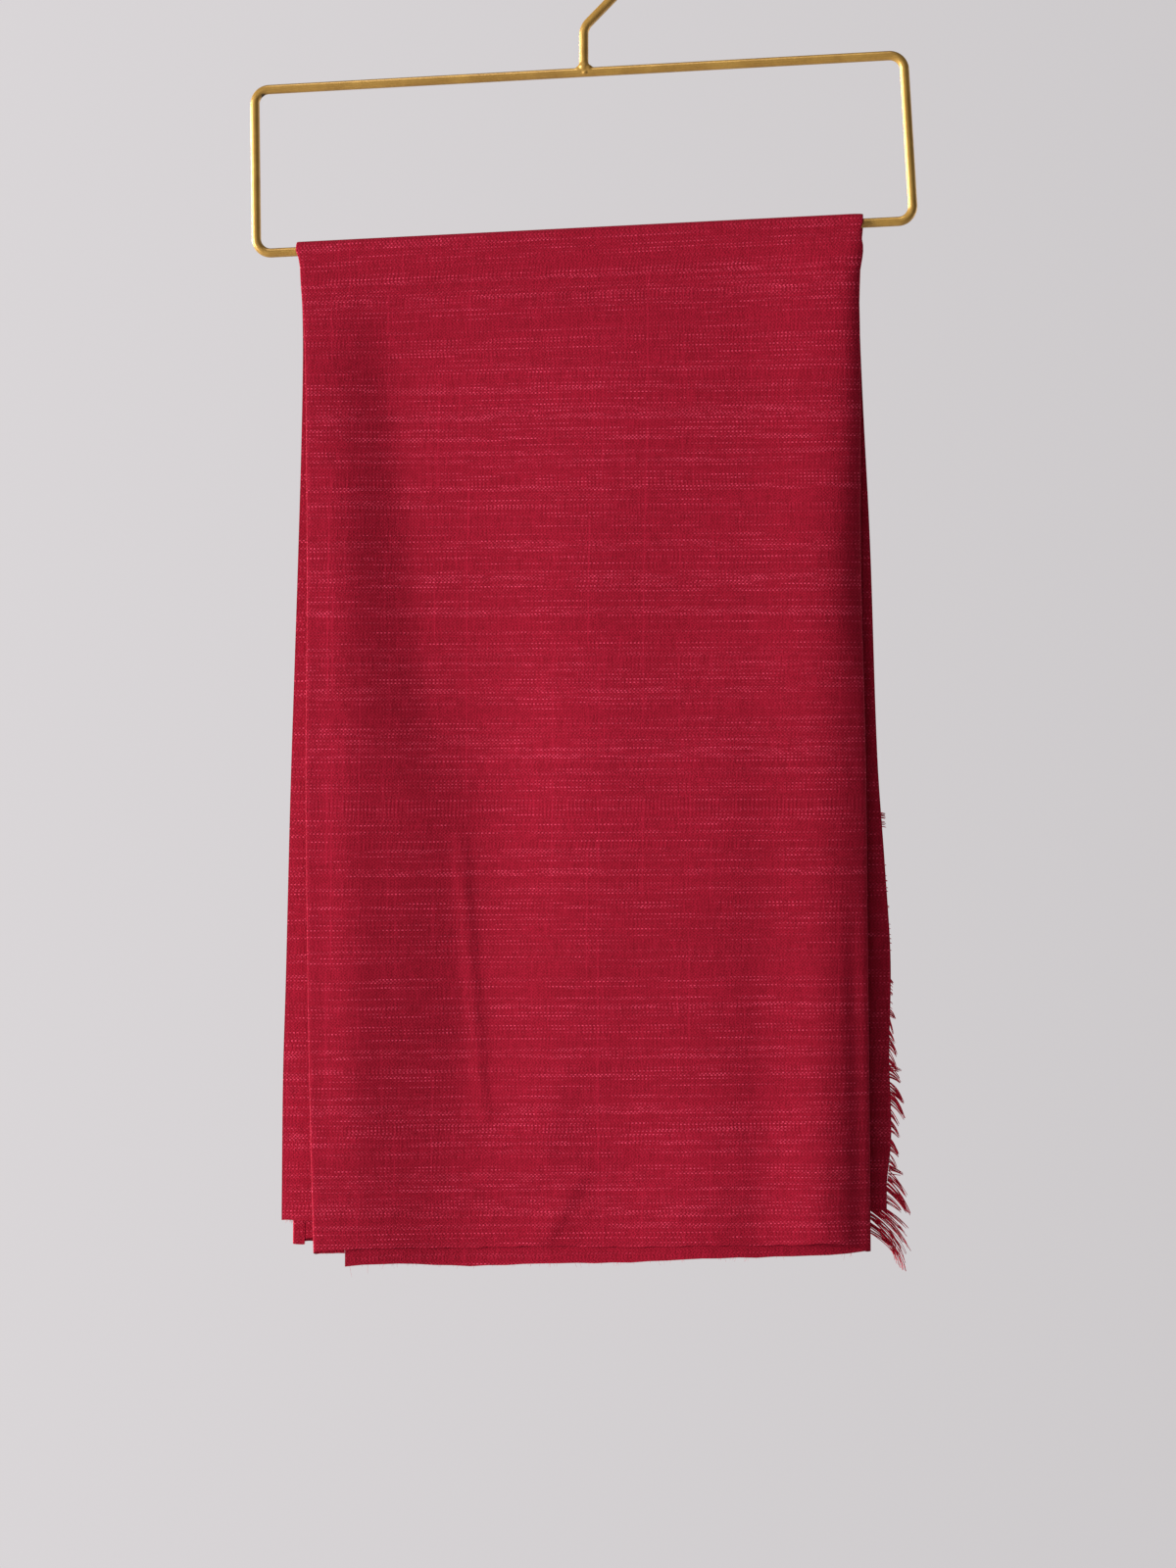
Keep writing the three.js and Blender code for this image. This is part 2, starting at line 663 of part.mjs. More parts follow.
function fringeGeometry() {
  const uneven = unevenValues(FRINGE_SEED);
  const hemDrop = INNER_REAR_HEM[1].drop;
  const rootOut = GAP + FRINGE_STRIP_W / 2;
  let solid = toSolid(fringeStrip(hemDrop));
  const grow = (root, aim, droop, length) => {
    solid = solid.add(toSolid(lockGeometry(root, aim, droop, length)));
  };
  for (let i = 0; i < FRINGE_EDGE_LOCKS; i += 1) {
    const t = (i + 0.3 + 0.4 * uneven()) / FRINGE_EDGE_LOCKS;
    const drop = FRINGE_FROM + LOCK_ROOT_R + t * (hemDrop - FRINGE_FROM - 2 * LOCK_ROOT_R);
    const { short, long } = FRINGE_EDGE_LENGTH;
    const clump = 1 - FRINGE_CLUMPS.share * (1 - Math.sin(t * FRINGE_CLUMPS.turns + FRINGE_CLUMPS.phase));
    const length = (short + (long - short) * smooth(0, 0.7, t)) * clump * (0.8 + 0.3 * uneven());
    const aim = new THREE.Vector3(1, 0.2 * (uneven() - 0.5), -0.15 - 0.3 * uneven());
    grow(frayedEdge(drop, rootOut), aim, 1 + 0.7 * uneven(), length);
  }
  for (let i = 0; i < FRINGE_CORNER_LOCKS; i += 1) {
    const t = (i + 0.5) / FRINGE_CORNER_LOCKS;
    const { short, long } = FRINGE_CORNER_LENGTH;
    const out = rootOut - (FRINGE_CORNER_REACH + rootOut - LOCK_ROOT_R) * (1 - t);
    const aim = new THREE.Vector3(0.75, 0.2 * (uneven() - 0.5), -0.75);
    const length = short + (long - short) * Math.sin(Math.PI * (0.25 + 0.5 * t)) * uneven();
    grow(frayedEdge(hemDrop + rootOut, out), aim, 0.45 + 0.6 * uneven(), length);
  }
  return toGeometry(solid);
}

const cloth = () =>
  new THREE.MeshStandardMaterial({ color: 0xa3192e, roughness: 0.85, metalness: 0, side: THREE.DoubleSide });
const gold = () => new THREE.MeshStandardMaterial({ color: 0xb88f42, roughness: 0.42, metalness: 0.55 });

function named(name, geometry, material) {
  const mesh = new THREE.Mesh(geometry, material);
  mesh.name = name;
  return mesh;
}

const shawl = new THREE.Group();
shawl.add(named("outer_fold", drapeWall(outerSection, outerHasCell), cloth()));
shawl.add(named("inner_plies", drapeWall(innerSection, () => true), cloth()));
shawl.add(named("frayed_fringe", fringeGeometry(), cloth()));

const hanger = new THREE.Group();
hanger.add(named("hanger_frame", frameGeometry(), gold()));
hanger.add(named("hanger_hook", hookGeometry(), gold()));

const hijab = new THREE.Group();
hijab.add(shawl, hanger);

export default hijab;
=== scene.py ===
"""Crimson shawl hijab, folded flat and hung over the bar of a gold wire hanger.

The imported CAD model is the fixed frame. Sizes in the tables are millimetres, as a maker would note them,
and every mesh is in metres. The cloth's front faces -Y and the hook's crown is the origin.
"""

import logging
import math
import random
from dataclasses import dataclass
from enum import Enum
from typing import Callable, Optional, Sequence, Union

import bmesh
import bpy
from bmesh.types import BMEdge, BMesh, BMVert
from bpy.types import ID, Material, Mesh, Node, NodeSocket, NodeTree, Object
from mathutils import Matrix, Vector


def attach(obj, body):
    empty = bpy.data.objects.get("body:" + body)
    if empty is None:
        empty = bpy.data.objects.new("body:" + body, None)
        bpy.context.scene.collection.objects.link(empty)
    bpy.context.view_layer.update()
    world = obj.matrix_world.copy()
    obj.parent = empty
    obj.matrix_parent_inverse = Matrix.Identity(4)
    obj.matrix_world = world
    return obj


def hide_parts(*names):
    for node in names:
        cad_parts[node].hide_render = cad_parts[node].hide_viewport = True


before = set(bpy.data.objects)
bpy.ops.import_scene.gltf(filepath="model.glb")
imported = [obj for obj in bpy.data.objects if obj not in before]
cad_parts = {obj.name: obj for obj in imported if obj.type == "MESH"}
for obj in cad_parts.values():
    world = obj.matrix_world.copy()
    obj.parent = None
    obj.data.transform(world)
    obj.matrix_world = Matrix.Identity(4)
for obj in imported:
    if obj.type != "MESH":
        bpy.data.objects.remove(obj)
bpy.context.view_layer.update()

Pair = tuple[float, float]

LOG = logging.getLogger("hijab")
MM = 0.001
BODY = "root"

# Hanger sizes
WIRE_R = 2.05
WELD_Z = -71.8
FRAME_H = 73.0
TILT = math.radians(2.04)

# Where the cloth hangs
BAR_SLOPE = math.tan(TILT)
BAR_Z = WELD_Z - FRAME_H / math.cos(TILT)
SOLID_PLY = 1.0
GAP = 0.3
INNER_R = WIRE_R + GAP + SOLID_PLY / 2
PLY_STEP = SOLID_PLY + GAP
LOOSE_STEP = PLY_STEP + 0.05
CLOTH_WALL = 0.42
SHARP_EDGE = 50
ALL_SMOOTH = 180
WAVES_START, WAVES_FULL = 16, 280
FINE_WAVE_DRIFT = 140
PLIES_PART, PLIES_APART = 2, 14
FOLD_REACH = 52
TURNED_END_ROOM = 0.8

# Unevenness of a hem: lift, length over a turn, and how far the hem's own drop shifts it
HEM_WAVES = ((0.16, 2.9, 1), (0.1, 1.3, 0), (0.3, 11, 0))

# Drop at which the weft has turned level below the tilted bar, and from where to where it turns back
LEVEL_AT = 70
BACK_FROM, BACK_TO = 150, 440
LEVEL_SHARE = 0.45

# Threads: how far towards its tip's depth a knee lies, and how close points are to be one, in metres
KNEE_DEPTH = 0.4
MERGE = 1e-7


class Slot(Enum):
    """Names of the two material slots."""

    CLOTH = "crimson_cloth"
    GOLD = "gold_wire"


def smooth(start: float, stop: float, value: float) -> float:
    """Eases from 0 at start to 1 at stop."""
    t = min(1.0, max(0.0, (value - start) / (stop - start)))
    return t * t * (3 - 2 * t)


def mix(low: float, high: float, share: float) -> float:
    """The value that lies a share of the way from low to high."""
    return low + (high - low) * share


@dataclass(frozen=True)
class Profile:
    """A smooth line through a short table of (place, value) rows, in mm."""

    rows: tuple[Pair, ...]

    def at(self, place: float) -> float:
        """Reads the line.

        Args:
            place: where along the table's first column.

        Returns:
            The eased value of its second column.
        """
        rows = self.rows
        if place <= rows[0][0]:
            return rows[0][1]
        if place >= rows[-1][0]:
            return rows[-1][1]
        i = next(k for k in range(len(rows) - 1) if rows[k + 1][0] > place)
        (a, va), (b, vb) = rows[i], rows[i + 1]
        before, v_before = rows[max(0, i - 1)]
        after, v_after = rows[min(len(rows) - 1, i + 2)]
        span = b - a
        slope_a = (vb - v_before) / (b - before) * span
        slope_b = (v_after - va) / (after - a) * span
        t = (place - a) / span
        t2, t3 = t * t, t * t * t
        ends = (2 * t3 - 3 * t2 + 1) * va + (t3 - 2 * t2 + t) * slope_a
        return ends + (3 * t2 - 2 * t3) * vb + (t3 - t2) * slope_b


@dataclass(frozen=True)
class Crease:
    """A soft ridge, or a trough where its depth is negative, that runs down a ply, in mm."""

    x: float
    lean: float
    start: float
    stop: float
    left: float
    right: float
    depth: float
    ease: float = 40.0

    def height(self, x: float, drop: float) -> float:
        """How far it lifts the ply.

        Args:
            x: place across the cloth.
            drop: distance below the bar.

        Returns:
            The lift away from the bar's plane.
        """
        if drop <= self.start or drop >= self.stop:
            return 0.0
        across = x - self.x - self.lean * (drop - self.start)
        width = self.left if across < 0 else self.right
        fade_in = smooth(self.start, self.start + self.ease, drop)
        fade_out = 1 - smooth(self.stop - self.ease, self.stop, drop)
        return self.depth * fade_in * fade_out * math.exp(-((across / width) ** 2))


def creases(*rows: tuple[float, ...]) -> tuple[Crease, ...]:
    """The creases of a table, each with its numbers in the order of a crease's sizes."""
    return tuple(Crease(*row) for row in rows)


@dataclass(frozen=True)
class Sway:
    """How a side stands off the bar's plane, and its broad waves, in mm."""

    open: float
    fade: float
    wide: float
    wide_length: float
    wide_phase: float
    fine: float
    fine_length: float

    def height(self, x: float, drop: float) -> float:
        """Height that the hang and the waves give.

        Args:
            x: place across the cloth.
            drop: distance below the bar.

        Returns:
            The height above the ply's place on the bar.
        """
        grow = smooth(WAVES_START, WAVES_FULL, drop)
        stand = self.open * (1 - math.exp(-drop * drop / (self.fade * (self.fade * 0.5 + drop))))
        broad = self.wide * math.sin(2 * math.pi * x / self.wide_length + self.wide_phase)
        small = self.fine * math.sin(2 * math.pi * x / self.fine_length + drop / FINE_WAVE_DRIFT)
        return stand + grow * (broad + small)


@dataclass(frozen=True)
class Side:
    """One hanging side of the folded pack: its plies' edges, hems and creases."""

    sway: Sway
    outer_left: Profile
    outer_right: Profile
    inner_left: Profile
    inner_right: Profile
    hem: Profile
    turned_hem: Profile
    inner_hem: Profile
    tuck_hem: float
    tuck_reach: float
    turned_left: float
    shared: tuple[Crease, ...]
    own: tuple[Crease, ...]
    curl: tuple[Crease, ...]

    def inner(self, x: float, drop: float) -> float:
        """Height of the ply nearest the bar, which all plies of the side follow."""
        height = INNER_R + self.sway.height(x, drop)
        return height + sum(crease.height(x, drop) for crease in self.shared)

    def inner_edge(self, x: float, drop: float) -> float:
        """Height of the inner ply with the curl of its free edges."""
        return self.inner(x, drop) + sum(crease.height(x, drop) for crease in self.curl)

    def turned(self, x: float, drop: float) -> float:
        """Height of the ply that is turned under the outer one."""
        return self.inner(x, drop) + mix(PLY_STEP / 2, LOOSE_STEP, smooth(PLIES_PART, PLIES_APART, drop))

    def outer(self, x: float, drop: float) -> float:
        """Height of the outer ply, which makes room for the turned one and its fold."""
        right = self.outer_right.at(drop)
        loop = FOLD_OPENING.at(drop) * smooth(right - FOLD_REACH, right - FOLD_WIDTH.at(drop), x)
        room = smooth(PLIES_PART, PLIES_APART, drop) * (LOOSE_STEP + loop)
        return self.inner(x, drop) + PLY_STEP + room + self.own_lift(x, drop)

    def own_lift(self, x: float, drop: float) -> float:
        """Lift of the creases that only the outer ply has."""
        return sum(crease.height(x, drop) for crease in self.own)


@dataclass(frozen=True)
class Ramp:
    """A size in mm that eases from one value to another between two drops below the bar."""

    low: float
    high: float
    start: float
    stop: float

    def at(self, drop: float) -> float:
        """The size at a drop."""
        return mix(self.low, self.high, smooth(self.start, self.stop, drop))


# The fold at the right: how far in it starts to roll, how far its loop opens, its inner half's radius
FOLD_WIDTH = Profile(((0, 6.0), (22, 7.6), (87, 9.4), (152, 12), (285, 15.5), (415, 18.5), (455, 19.5)))
FOLD_OPENING = Ramp(2.0, 3.4, 20, 440)
FOLD_RADIUS = Ramp(0.85, 2.1, 60, 440)

# Radius of the tuck at the left
TUCK_RADIUS = Ramp(0.28, 0.72, 330, 440)


def weft_level(x: float, drop: float) -> float:
    """How far the weft rows run level rather than along the tilted bar, at a place across."""
    share = mix(1.0, LEVEL_SHARE, smooth(BACK_FROM, BACK_TO, drop))
    return BAR_SLOPE * x * smooth(0, LEVEL_AT, drop) * share


FRONT = Side(
    sway=Sway(4.6, 150, 1.5, 168, 0.5, 0.5, 76),
    outer_left=Profile((
        (0, -128.3), (5, -126.7), (13, -125.9), (25, -125), (45, -123.9), (75, -123.3),
        (150, -122.5), (235, -122.9), (305, -122.2), (385, -120.9), (455, -119.1),
    )),
    outer_right=Profile((
        (0, 123.2), (4, 122.3), (12, 123.5), (25, 121.8), (45, 122), (75, 122.3),
        (150, 122.4), (235, 124.5), (305, 125.3), (385, 126.2), (455, 126.8),
    )),
    inner_left=Profile(((0, -128), (25, -124.4), (150, -120.5), (455, -116.5))),
    inner_right=Profile(((0, 122.6), (25, 120.6), (150, 119.5), (455, 121.5))),
    hem=Profile((
        (-120, 445.2), (-112, 445), (-107, 444.7), (-98, 444.8), (-15, 445.9), (46, 447),
        (107, 447.2), (114, 447.8), (119, 449), (124.5, 451.8), (127, 451.9),
    )),
    turned_hem=Profile((
        (-106, 452.2), (-82, 452.2), (-46, 453.8), (20, 453.6), (92, 452.4), (110, 452.8), (126, 452),
    )),
    inner_hem=Profile(((-120, 441), (120, 441))),
    tuck_hem=446.3,
    tuck_reach=13.0,
    turned_left=-105.5,
    shared=creases(
        (-90, 0.115, 0, 262, 20, 58, -4.2, 62), (127.5, 0.0, 4, 210, 8, 40, -1.6, 45),
        (-43, 0.0, 176, 430, 30, 60, -2.8, 90), (0, 0.0, 320, 640, 62, 64, -3.2, 90),
        (129, 0.0, 30, 640, 15, 40, -3.6, 140), (131, 0.0, 320, 700, 17, 40, -2.2, 100),
        (30, -0.05, 60, 330, 34, 60, -0.9, 80),
    ),
    own=creases(
        (-109, 0.02, 50, 455, 11, 13, 1.15, 90), (-55.5, 0.085, 250, 400, 3.4, 2.4, 0.6, 30),
        (118.3, 0.024, 285, 560, 3.0, 3.6, -0.65, 60), (3, -0.56, 410, 452, 9, 3.2, 0.7, 12),
        (-8, -0.2, 360, 425, 14, 9, 0.5, 25),
    ),
    curl=(),
)
REAR = Side(
    sway=Sway(3.4, 190, 1.2, 190, 2.4, 0.45, 83),
    outer_left=Profile((
        (0, -128.3), (13, -127), (45, -126), (150, -127.6), (300, -130), (455, -131.5),
    )),
    outer_right=Profile((
        (0, 123.2), (13, 122.2), (45, 121.4), (150, 122), (300, 122.6), (455, 121.6),
    )),
    inner_left=Profile((
        (0, -128), (12, -127.6), (24, -126.8), (44, -126.5), (80, -127.1), (141, -128.9),
        (235, -132.1), (283, -133.4), (325, -134.5), (370, -135.8), (435, -136.5),
    )),
    inner_right=Profile((
        (0, 122.6), (12, 122), (24, 121.6), (44, 121.9), (80, 123.4), (141, 126.5),
        (235, 129.7), (283, 133), (325, 135.5), (370, 134.9), (404, 135.8), (416, 135.2),
        (428, 133.9), (435, 133.8),
    )),
    hem=Profile(((-132, 443.6), (-129, 443.2), (-125.5, 442.2), (0, 442.8), (124, 442.4))),
    turned_hem=Profile(((-131, 441.8), (-126, 440.9), (-120, 440.4), (124, 441.4))),
    inner_hem=Profile(((-137, 432.7), (134, 434.8))),
    tuck_hem=443.6,
    tuck_reach=4.5,
    turned_left=-130.4,
    shared=creases(
        (88, 0.01, 14, 250, 40, 16, -2.0, 60), (40, -0.03, 240, 430, 18, 30, -1.4, 60),
        (127, 0.0, 6, 560, 15, 40, -1.6, 110), (-92, 0.02, 180, 520, 22, 34, -1.5, 60),
    ),
    own=creases(
        (112, 0.01, 220, 420, 6, 3, 1.0), (-66, 0.05, 24, 360, 42, 13, 1.7, 80),
        (40, -0.06, 150, 455, 46, 14, 1.6, 90), (-14, 0.09, 210, 430, 5, 3, 0.7, 50),
        (20, 0.5, 395, 452, 5, 8, 0.6, 14),
    ),
    curl=creases(
        (136, 0.0, 60, 520, 14, 30, -1.4, 90), (-138, 0.0, 120, 520, 30, 9, 0.9, 90),
    ),
)


@dataclass(frozen=True)
class Row:
    """One row across the cloth: its side, its distance below the bar and its turn over the bar."""

    side: Side
    drop: float
    turn: float
    along: float
    to_hem: float
    hem: float

    def place(self, x: float, height: float, drop: float) -> Vector:
        """Puts a point of the row's section on the drape.

        Args:
            x: place across the cloth, in mm.
            height: height off the bar's plane, in mm.
            drop: distance below the bar, in mm.

        Returns:
            The point, in metres.
        """
        z = BAR_Z + BAR_SLOPE * x + height * math.sin(self.turn) - drop
        return Vector((x, -height * math.cos(self.turn), z)) * MM

    def drop_at(self, x: float, own_hem: float) -> float:
        """How far below the bar the row runs where the ply's hem lies at a drop.

        Args:
            x: place across the cloth.
            own_hem: the drop of the hem there, where the rows are spaced for an even one.

        Returns:
            The row's own drop there, uneven by a few tenths at the hem.
        """
        flutter = sum(lift * math.sin(x / turn + shift * self.hem) for lift, turn, shift in HEM_WAVES)
        return self.drop + (own_hem - self.hem + flutter) * self.to_hem


@dataclass(frozen=True)
class Rows:
    """The rows of a length of cloth, up its front, over the bar and down its rear."""

    hem: float
    hanging: int = 104
    over: int = 10
    even_share: float = 0.55
    hem_share: float = 0.72

    def build(self) -> list[Row]:
        """All rows, from the front's hem to the rear's."""
        fractions = [self._fraction(i / self.hanging) for i in range(self.hanging + 1)]
        rows = [self._hanging_row(FRONT, share, 0.0) for share in reversed(fractions)]
        for step in range(1, self.over):
            turn = math.pi * step / self.over
            side = FRONT if step * 2 <= self.over else REAR
            rows.append(Row(side, 0.0, turn, (turn - math.pi / 2) * INNER_R, 0.0, self.hem))
        rows += [self._hanging_row(REAR, share, math.pi) for share in fractions]
        return rows

    def _fraction(self, t: float) -> float:
        """Spaces the rows closer under the bar and at the hem."""
        return mix(smooth(0, 1, t), t, self.even_share)

    def _hanging_row(self, side: Side, share: float, turn: float) -> Row:
        """A row of one hanging side, at a share of the way down."""
        drop = self.hem * share
        reach = drop + INNER_R * math.pi / 2
        along = reach if turn else -reach
        return Row(side, drop, turn, along, smooth(self.hem_share, 1.0, share), self.hem)


@dataclass(frozen=True)
class Point:
    """A point of a ply's section, in mm."""

    x: float
    height: float
    drop: float


class WovenPiece:
    """A length of cloth that a grid of points is laid out on, row by row."""

    name: str
    replaces: str

    def section(self, row: Row) -> list[Point]:
        """The points across the cloth on one row."""
        raise NotImplementedError

    def build(self, rows: Sequence[Row], finish: Material) -> Object:
        """Lays a grid on the sections, and gives it a wall.

        Args:
            rows: the rows from the front hem to the rear hem.
            finish: the cloth's material.

        Returns:
            The finished piece.
        """
        sections = [self.section(row) for row in rows]
        columns = len(sections[0])
        bm = bmesh.new()
        bmesh.ops.create_grid(bm, x_segments=columns - 1, y_segments=len(rows) - 1, size=0.5)
        uv = bm.loops.layers.uv.new("weave")
        across = [self._across(line) for line in sections]
        weave: dict[int, tuple[float, float]] = {}
        for vertex in bm.verts:
            column = round((vertex.co.x + 0.5) * (columns - 1))
            index = round((vertex.co.y + 0.5) * (len(rows) - 1))
            row, point = rows[index], sections[index][column]
            vertex.co = row.place(point.x, point.height, point.drop)
            fall = point.drop - row.drop - weft_level(point.x, row.drop)
            along = row.along + fall * math.copysign(1, row.along)
            weave[vertex.index] = (across[index][column] * MM, along * MM)
        for face in bm.faces:
            for loop in face.loops:
                loop[uv].uv = weave[loop.vert.index]
        return cloth_object(self.name, bm, finish, self.replaces)

    @staticmethod
    def _across(line: Sequence[Point]) -> list[float]:
        """Length across the cloth at each point of a section, from its middle column."""
        lengths = [0.0]
        for before, after in zip(line, line[1:]):
            lengths.append(lengths[-1] + math.hypot(after.x - before.x, after.height - before.height))
        middle = lengths[len(lengths) // 2]
        return [length - middle for length in lengths]


@dataclass(frozen=True)
class OuterFold(WovenPiece):
    """The outer stretch: its tucked left edge, the outer ply, the fold and the ply turned under."""

    name: str = "outer_fold_cloth"
    replaces: str = "outer_fold"
    tuck_columns: int = 5
    tuck_steps: int = 5
    columns: int = 116
    roll_steps: int = 16
    fold_steps: int = 6
    turned_columns: int = 30

    def section(self, row: Row) -> list[Point]:
        """The points across the cloth on one row, from the tuck round to the turned ply's end.

        Args:
            row: the row.

        Returns:
            Its points.
        """
        side, drop = row.side, row.drop
        small, tight, wide = TUCK_RADIUS.at(drop), FOLD_RADIUS.at(drop), FOLD_WIDTH.at(drop)
        left = side.outer_left.at(drop) + small
        edge_x = side.outer_right.at(drop)
        right = edge_x - wide
        line: list[Point] = []

        def lay(x: float, height: float, own_hem: float) -> None:
            line.append(Point(x, height, row.drop_at(x, own_hem)))

        edge = side.outer(left, drop)
        for i in range(self.tuck_columns):
            x = left + side.tuck_reach * (1 - i / self.tuck_columns)
            lay(x, side.outer(x, drop) - 2 * small, side.tuck_hem)
        for i in range(self.tuck_steps + 1):
            angle = math.pi * i / (self.tuck_steps + 1)
            own = mix(side.tuck_hem, side.hem.at(left), i / (self.tuck_steps + 1))
            lay(left - small * math.sin(angle), edge - small - small * math.cos(angle), own)
        for i in range(self.columns):
            x = mix(left, right, i / (self.columns - 1))
            lay(x, side.outer(x, drop), side.hem.at(x))
        flat = side.outer(right, drop) - side.inner(right, drop) - side.own_lift(right, drop)
        inside = edge_x - tight
        under = side.turned(inside, drop) - side.inner(inside, drop)
        half = (flat - under) / 2
        for i in range(1, self.roll_steps):
            angle = math.pi / 2 * i / self.roll_steps
            x = right + wide * math.sin(angle)
            lift = under + half * (1 + math.cos(angle)) + side.own_lift(x, drop) * math.cos(angle)
            lay(x, side.inner(x, drop) + lift, side.hem.at(x))
        hem_top, hem_under = side.hem.at(edge_x), side.turned_hem.at(inside)
        for i in range(self.fold_steps):
            angle = math.pi / 2 * (1 + i / self.fold_steps)
            x = inside + tight * math.sin(angle)
            lift = under + half * (1 + math.cos(angle))
            lay(x, side.inner(x, drop) + lift, mix(hem_top, hem_under, i / self.fold_steps))
        for i in range(self.turned_columns):
            end = max(side.turned_left, left + TURNED_END_ROOM)
            x = mix(inside, end, i / (self.turned_columns - 1))
            lay(x, side.turned(x, drop), side.turned_hem.at(x))
        return line


@dataclass(frozen=True)
class InnerPlies(WovenPiece):
    """The inner stretch: the ply under the front and the inner rear ply, frayed at its right edge."""

    name: str = "inner_plies_cloth"
    replaces: str = "inner_plies"
    columns: int = 120

    def section(self, row: Row) -> list[Point]:
        """The points across the cloth on one row.

        Args:
            row: the row.

        Returns:
            Its points.
        """
        side, drop = row.side, row.drop
        left, right = side.inner_left.at(drop), side.inner_right.at(drop)
        line = []
        for i in range(self.columns):
            x = mix(left, right, i / (self.columns - 1))
            own = row.drop_at(x, side.inner_hem.at(x))
            line.append(Point(x, side.inner_edge(x, drop), own))
        return line


def placed(name: str, data: ID) -> Object:
    """Makes an object of some data and links it to the scene."""
    obj = bpy.data.objects.new(name, data)
    bpy.context.scene.collection.objects.link(obj)
    return obj


def made(name: str, bm: BMesh, finish: Material) -> Object:
    """Turns a bmesh, which is used up, into an object of its own with one material."""
    mesh = bpy.data.meshes.new(name)
    bm.to_mesh(mesh)
    bm.free()
    mesh.materials.append(finish)
    return placed(name, mesh)


def evaluated(obj: Object) -> Mesh:
    """The mesh that an object's modifiers or its curve's round section give."""
    depsgraph = bpy.context.evaluated_depsgraph_get()
    return bpy.data.meshes.new_from_object(obj.evaluated_get(depsgraph))


def settle(obj: Object, sharp: float) -> None:
    """Applies an object's modifiers and smooths its shading up to a sharp angle.

    Args:
        obj: the object.
        sharp: the angle in degrees past which an edge stays sharp.
    """
    mesh = evaluated(obj)
    obj.modifiers.clear()
    obj.data = mesh
    mesh.shade_smooth()
    mesh.set_sharp_from_angle(angle=math.radians(sharp))


def ride(obj: Object, slot: Slot, *nodes: str) -> Object:
    """Fixes a piece to the part's body and hides the CAD nodes it stands for."""
    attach(obj, BODY)
    if nodes:
        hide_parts(*nodes)
    LOG.info("%s: %d faces", obj.name, len(obj.data.polygons))
    return obj


def cloth_object(name: str, bm: BMesh, finish: Material, node: str) -> Object:
    """Turns a laid-out grid into a cloth piece with a wall.

    Args:
        name: the piece's name.
        bm: the grid, which is used up.
        finish: its material.
        node: the CAD node that it stands for.

    Returns:
        The piece.
    """
    bmesh.ops.recalc_face_normals(bm, faces=bm.faces)
    obj = made(name, bm, finish)
    wall = obj.modifiers.new("wall", "SOLIDIFY")
    wall.thickness = CLOTH_WALL * MM
    wall.offset = 0.0
    wall.use_even_offset = True
    settle(obj, SHARP_EDGE)
    return ride(obj, Slot.CLOTH, node)


@dataclass(frozen=True)
class Clump:
    """Threads that gather into one lock of the frayed end, in mm."""

    drop: float
    spread: float
    out: float
    fall: float
    threads: int
    gather: float = 0.75
    knee: Pair = (0.62, 0.38)


def clumps(*rows: tuple) -> tuple[Clump, ...]:
    """The locks of a table, each with its numbers in the order of a clump's sizes."""
    return tuple(Clump(*row) for row in rows)


EDGE_CLUMPS = clumps(
    (263.2, 4.0, 1.9, 0.5, 13, 0.0), (300, 22, 0.7, 0.3, 16, 0.0), (332.5, 0.5, 1.2, 2.2, 2),
    (339, 7.0, 0.9, 1.3, 10, 0.0), (347.7, 1.6, 2.3, 2.6, 10), (350.7, 1.8, 1.4, 7.0, 5),
    (356.8, 2.2, 2.3, 4.4, 8), (361.2, 2.6, 3.2, 5.7, 11), (366.4, 3.0, 3.6, 7.0, 9),
    (371.7, 1.6, 5.2, 1.6, 7), (373.8, 2.6, 4.9, 4.4, 14), (380.4, 2.6, 6.2, 7.0, 15),
    (385.2, 3.0, 6.2, 8.7, 18), (391.5, 2.4, 3.4, 6.0, 6), (397.3, 2.6, 3.6, 5.2, 10),
    (406.1, 3.2, 3.2, 4.6, 12), (411.5, 2.4, 2.6, 5.0, 6), (416.9, 2.0, 5.8, 2.2, 9),
    (418.7, 2.4, 7.4, 9.6, 9), (423.6, 3.4, 9.3, 12.8, 22, 0.85), (428.5, 3.0, 6.4, 6.6, 9),
)
CORNER_CLUMPS = clumps(
    (-0.4, 1.0, 9.2, 8.0, 7, 0.8, (0.55, 0.42)), (-2.4, 1.4, 8.4, 10.4, 6, 0.75, (0.54, 0.44)),
    (-4.6, 1.6, 5.6, 8.8, 3, 0.4, (0.5, 0.45)), (-6.6, 1.6, 9.4, 17.0, 7, 0.85, (0.68, 0.4)),
)
FOLD_CLUMPS = clumps(
    (1.2, 1.2, 7.8, 18.6, 6, 0.85, (0.76, 0.42)), (4.0, 2.2, 7.4, 22.4, 8, 0.92, (0.86, 0.42)),
    (7.2, 2.4, 7.0, 25.6, 14, 0.97, (0.93, 0.46)),
)


@dataclass(frozen=True)
class Thread:
    """One loose thread: the points it runs through, in mm, and its radius at the root."""

    points: tuple[Vector, ...]
    radius: float


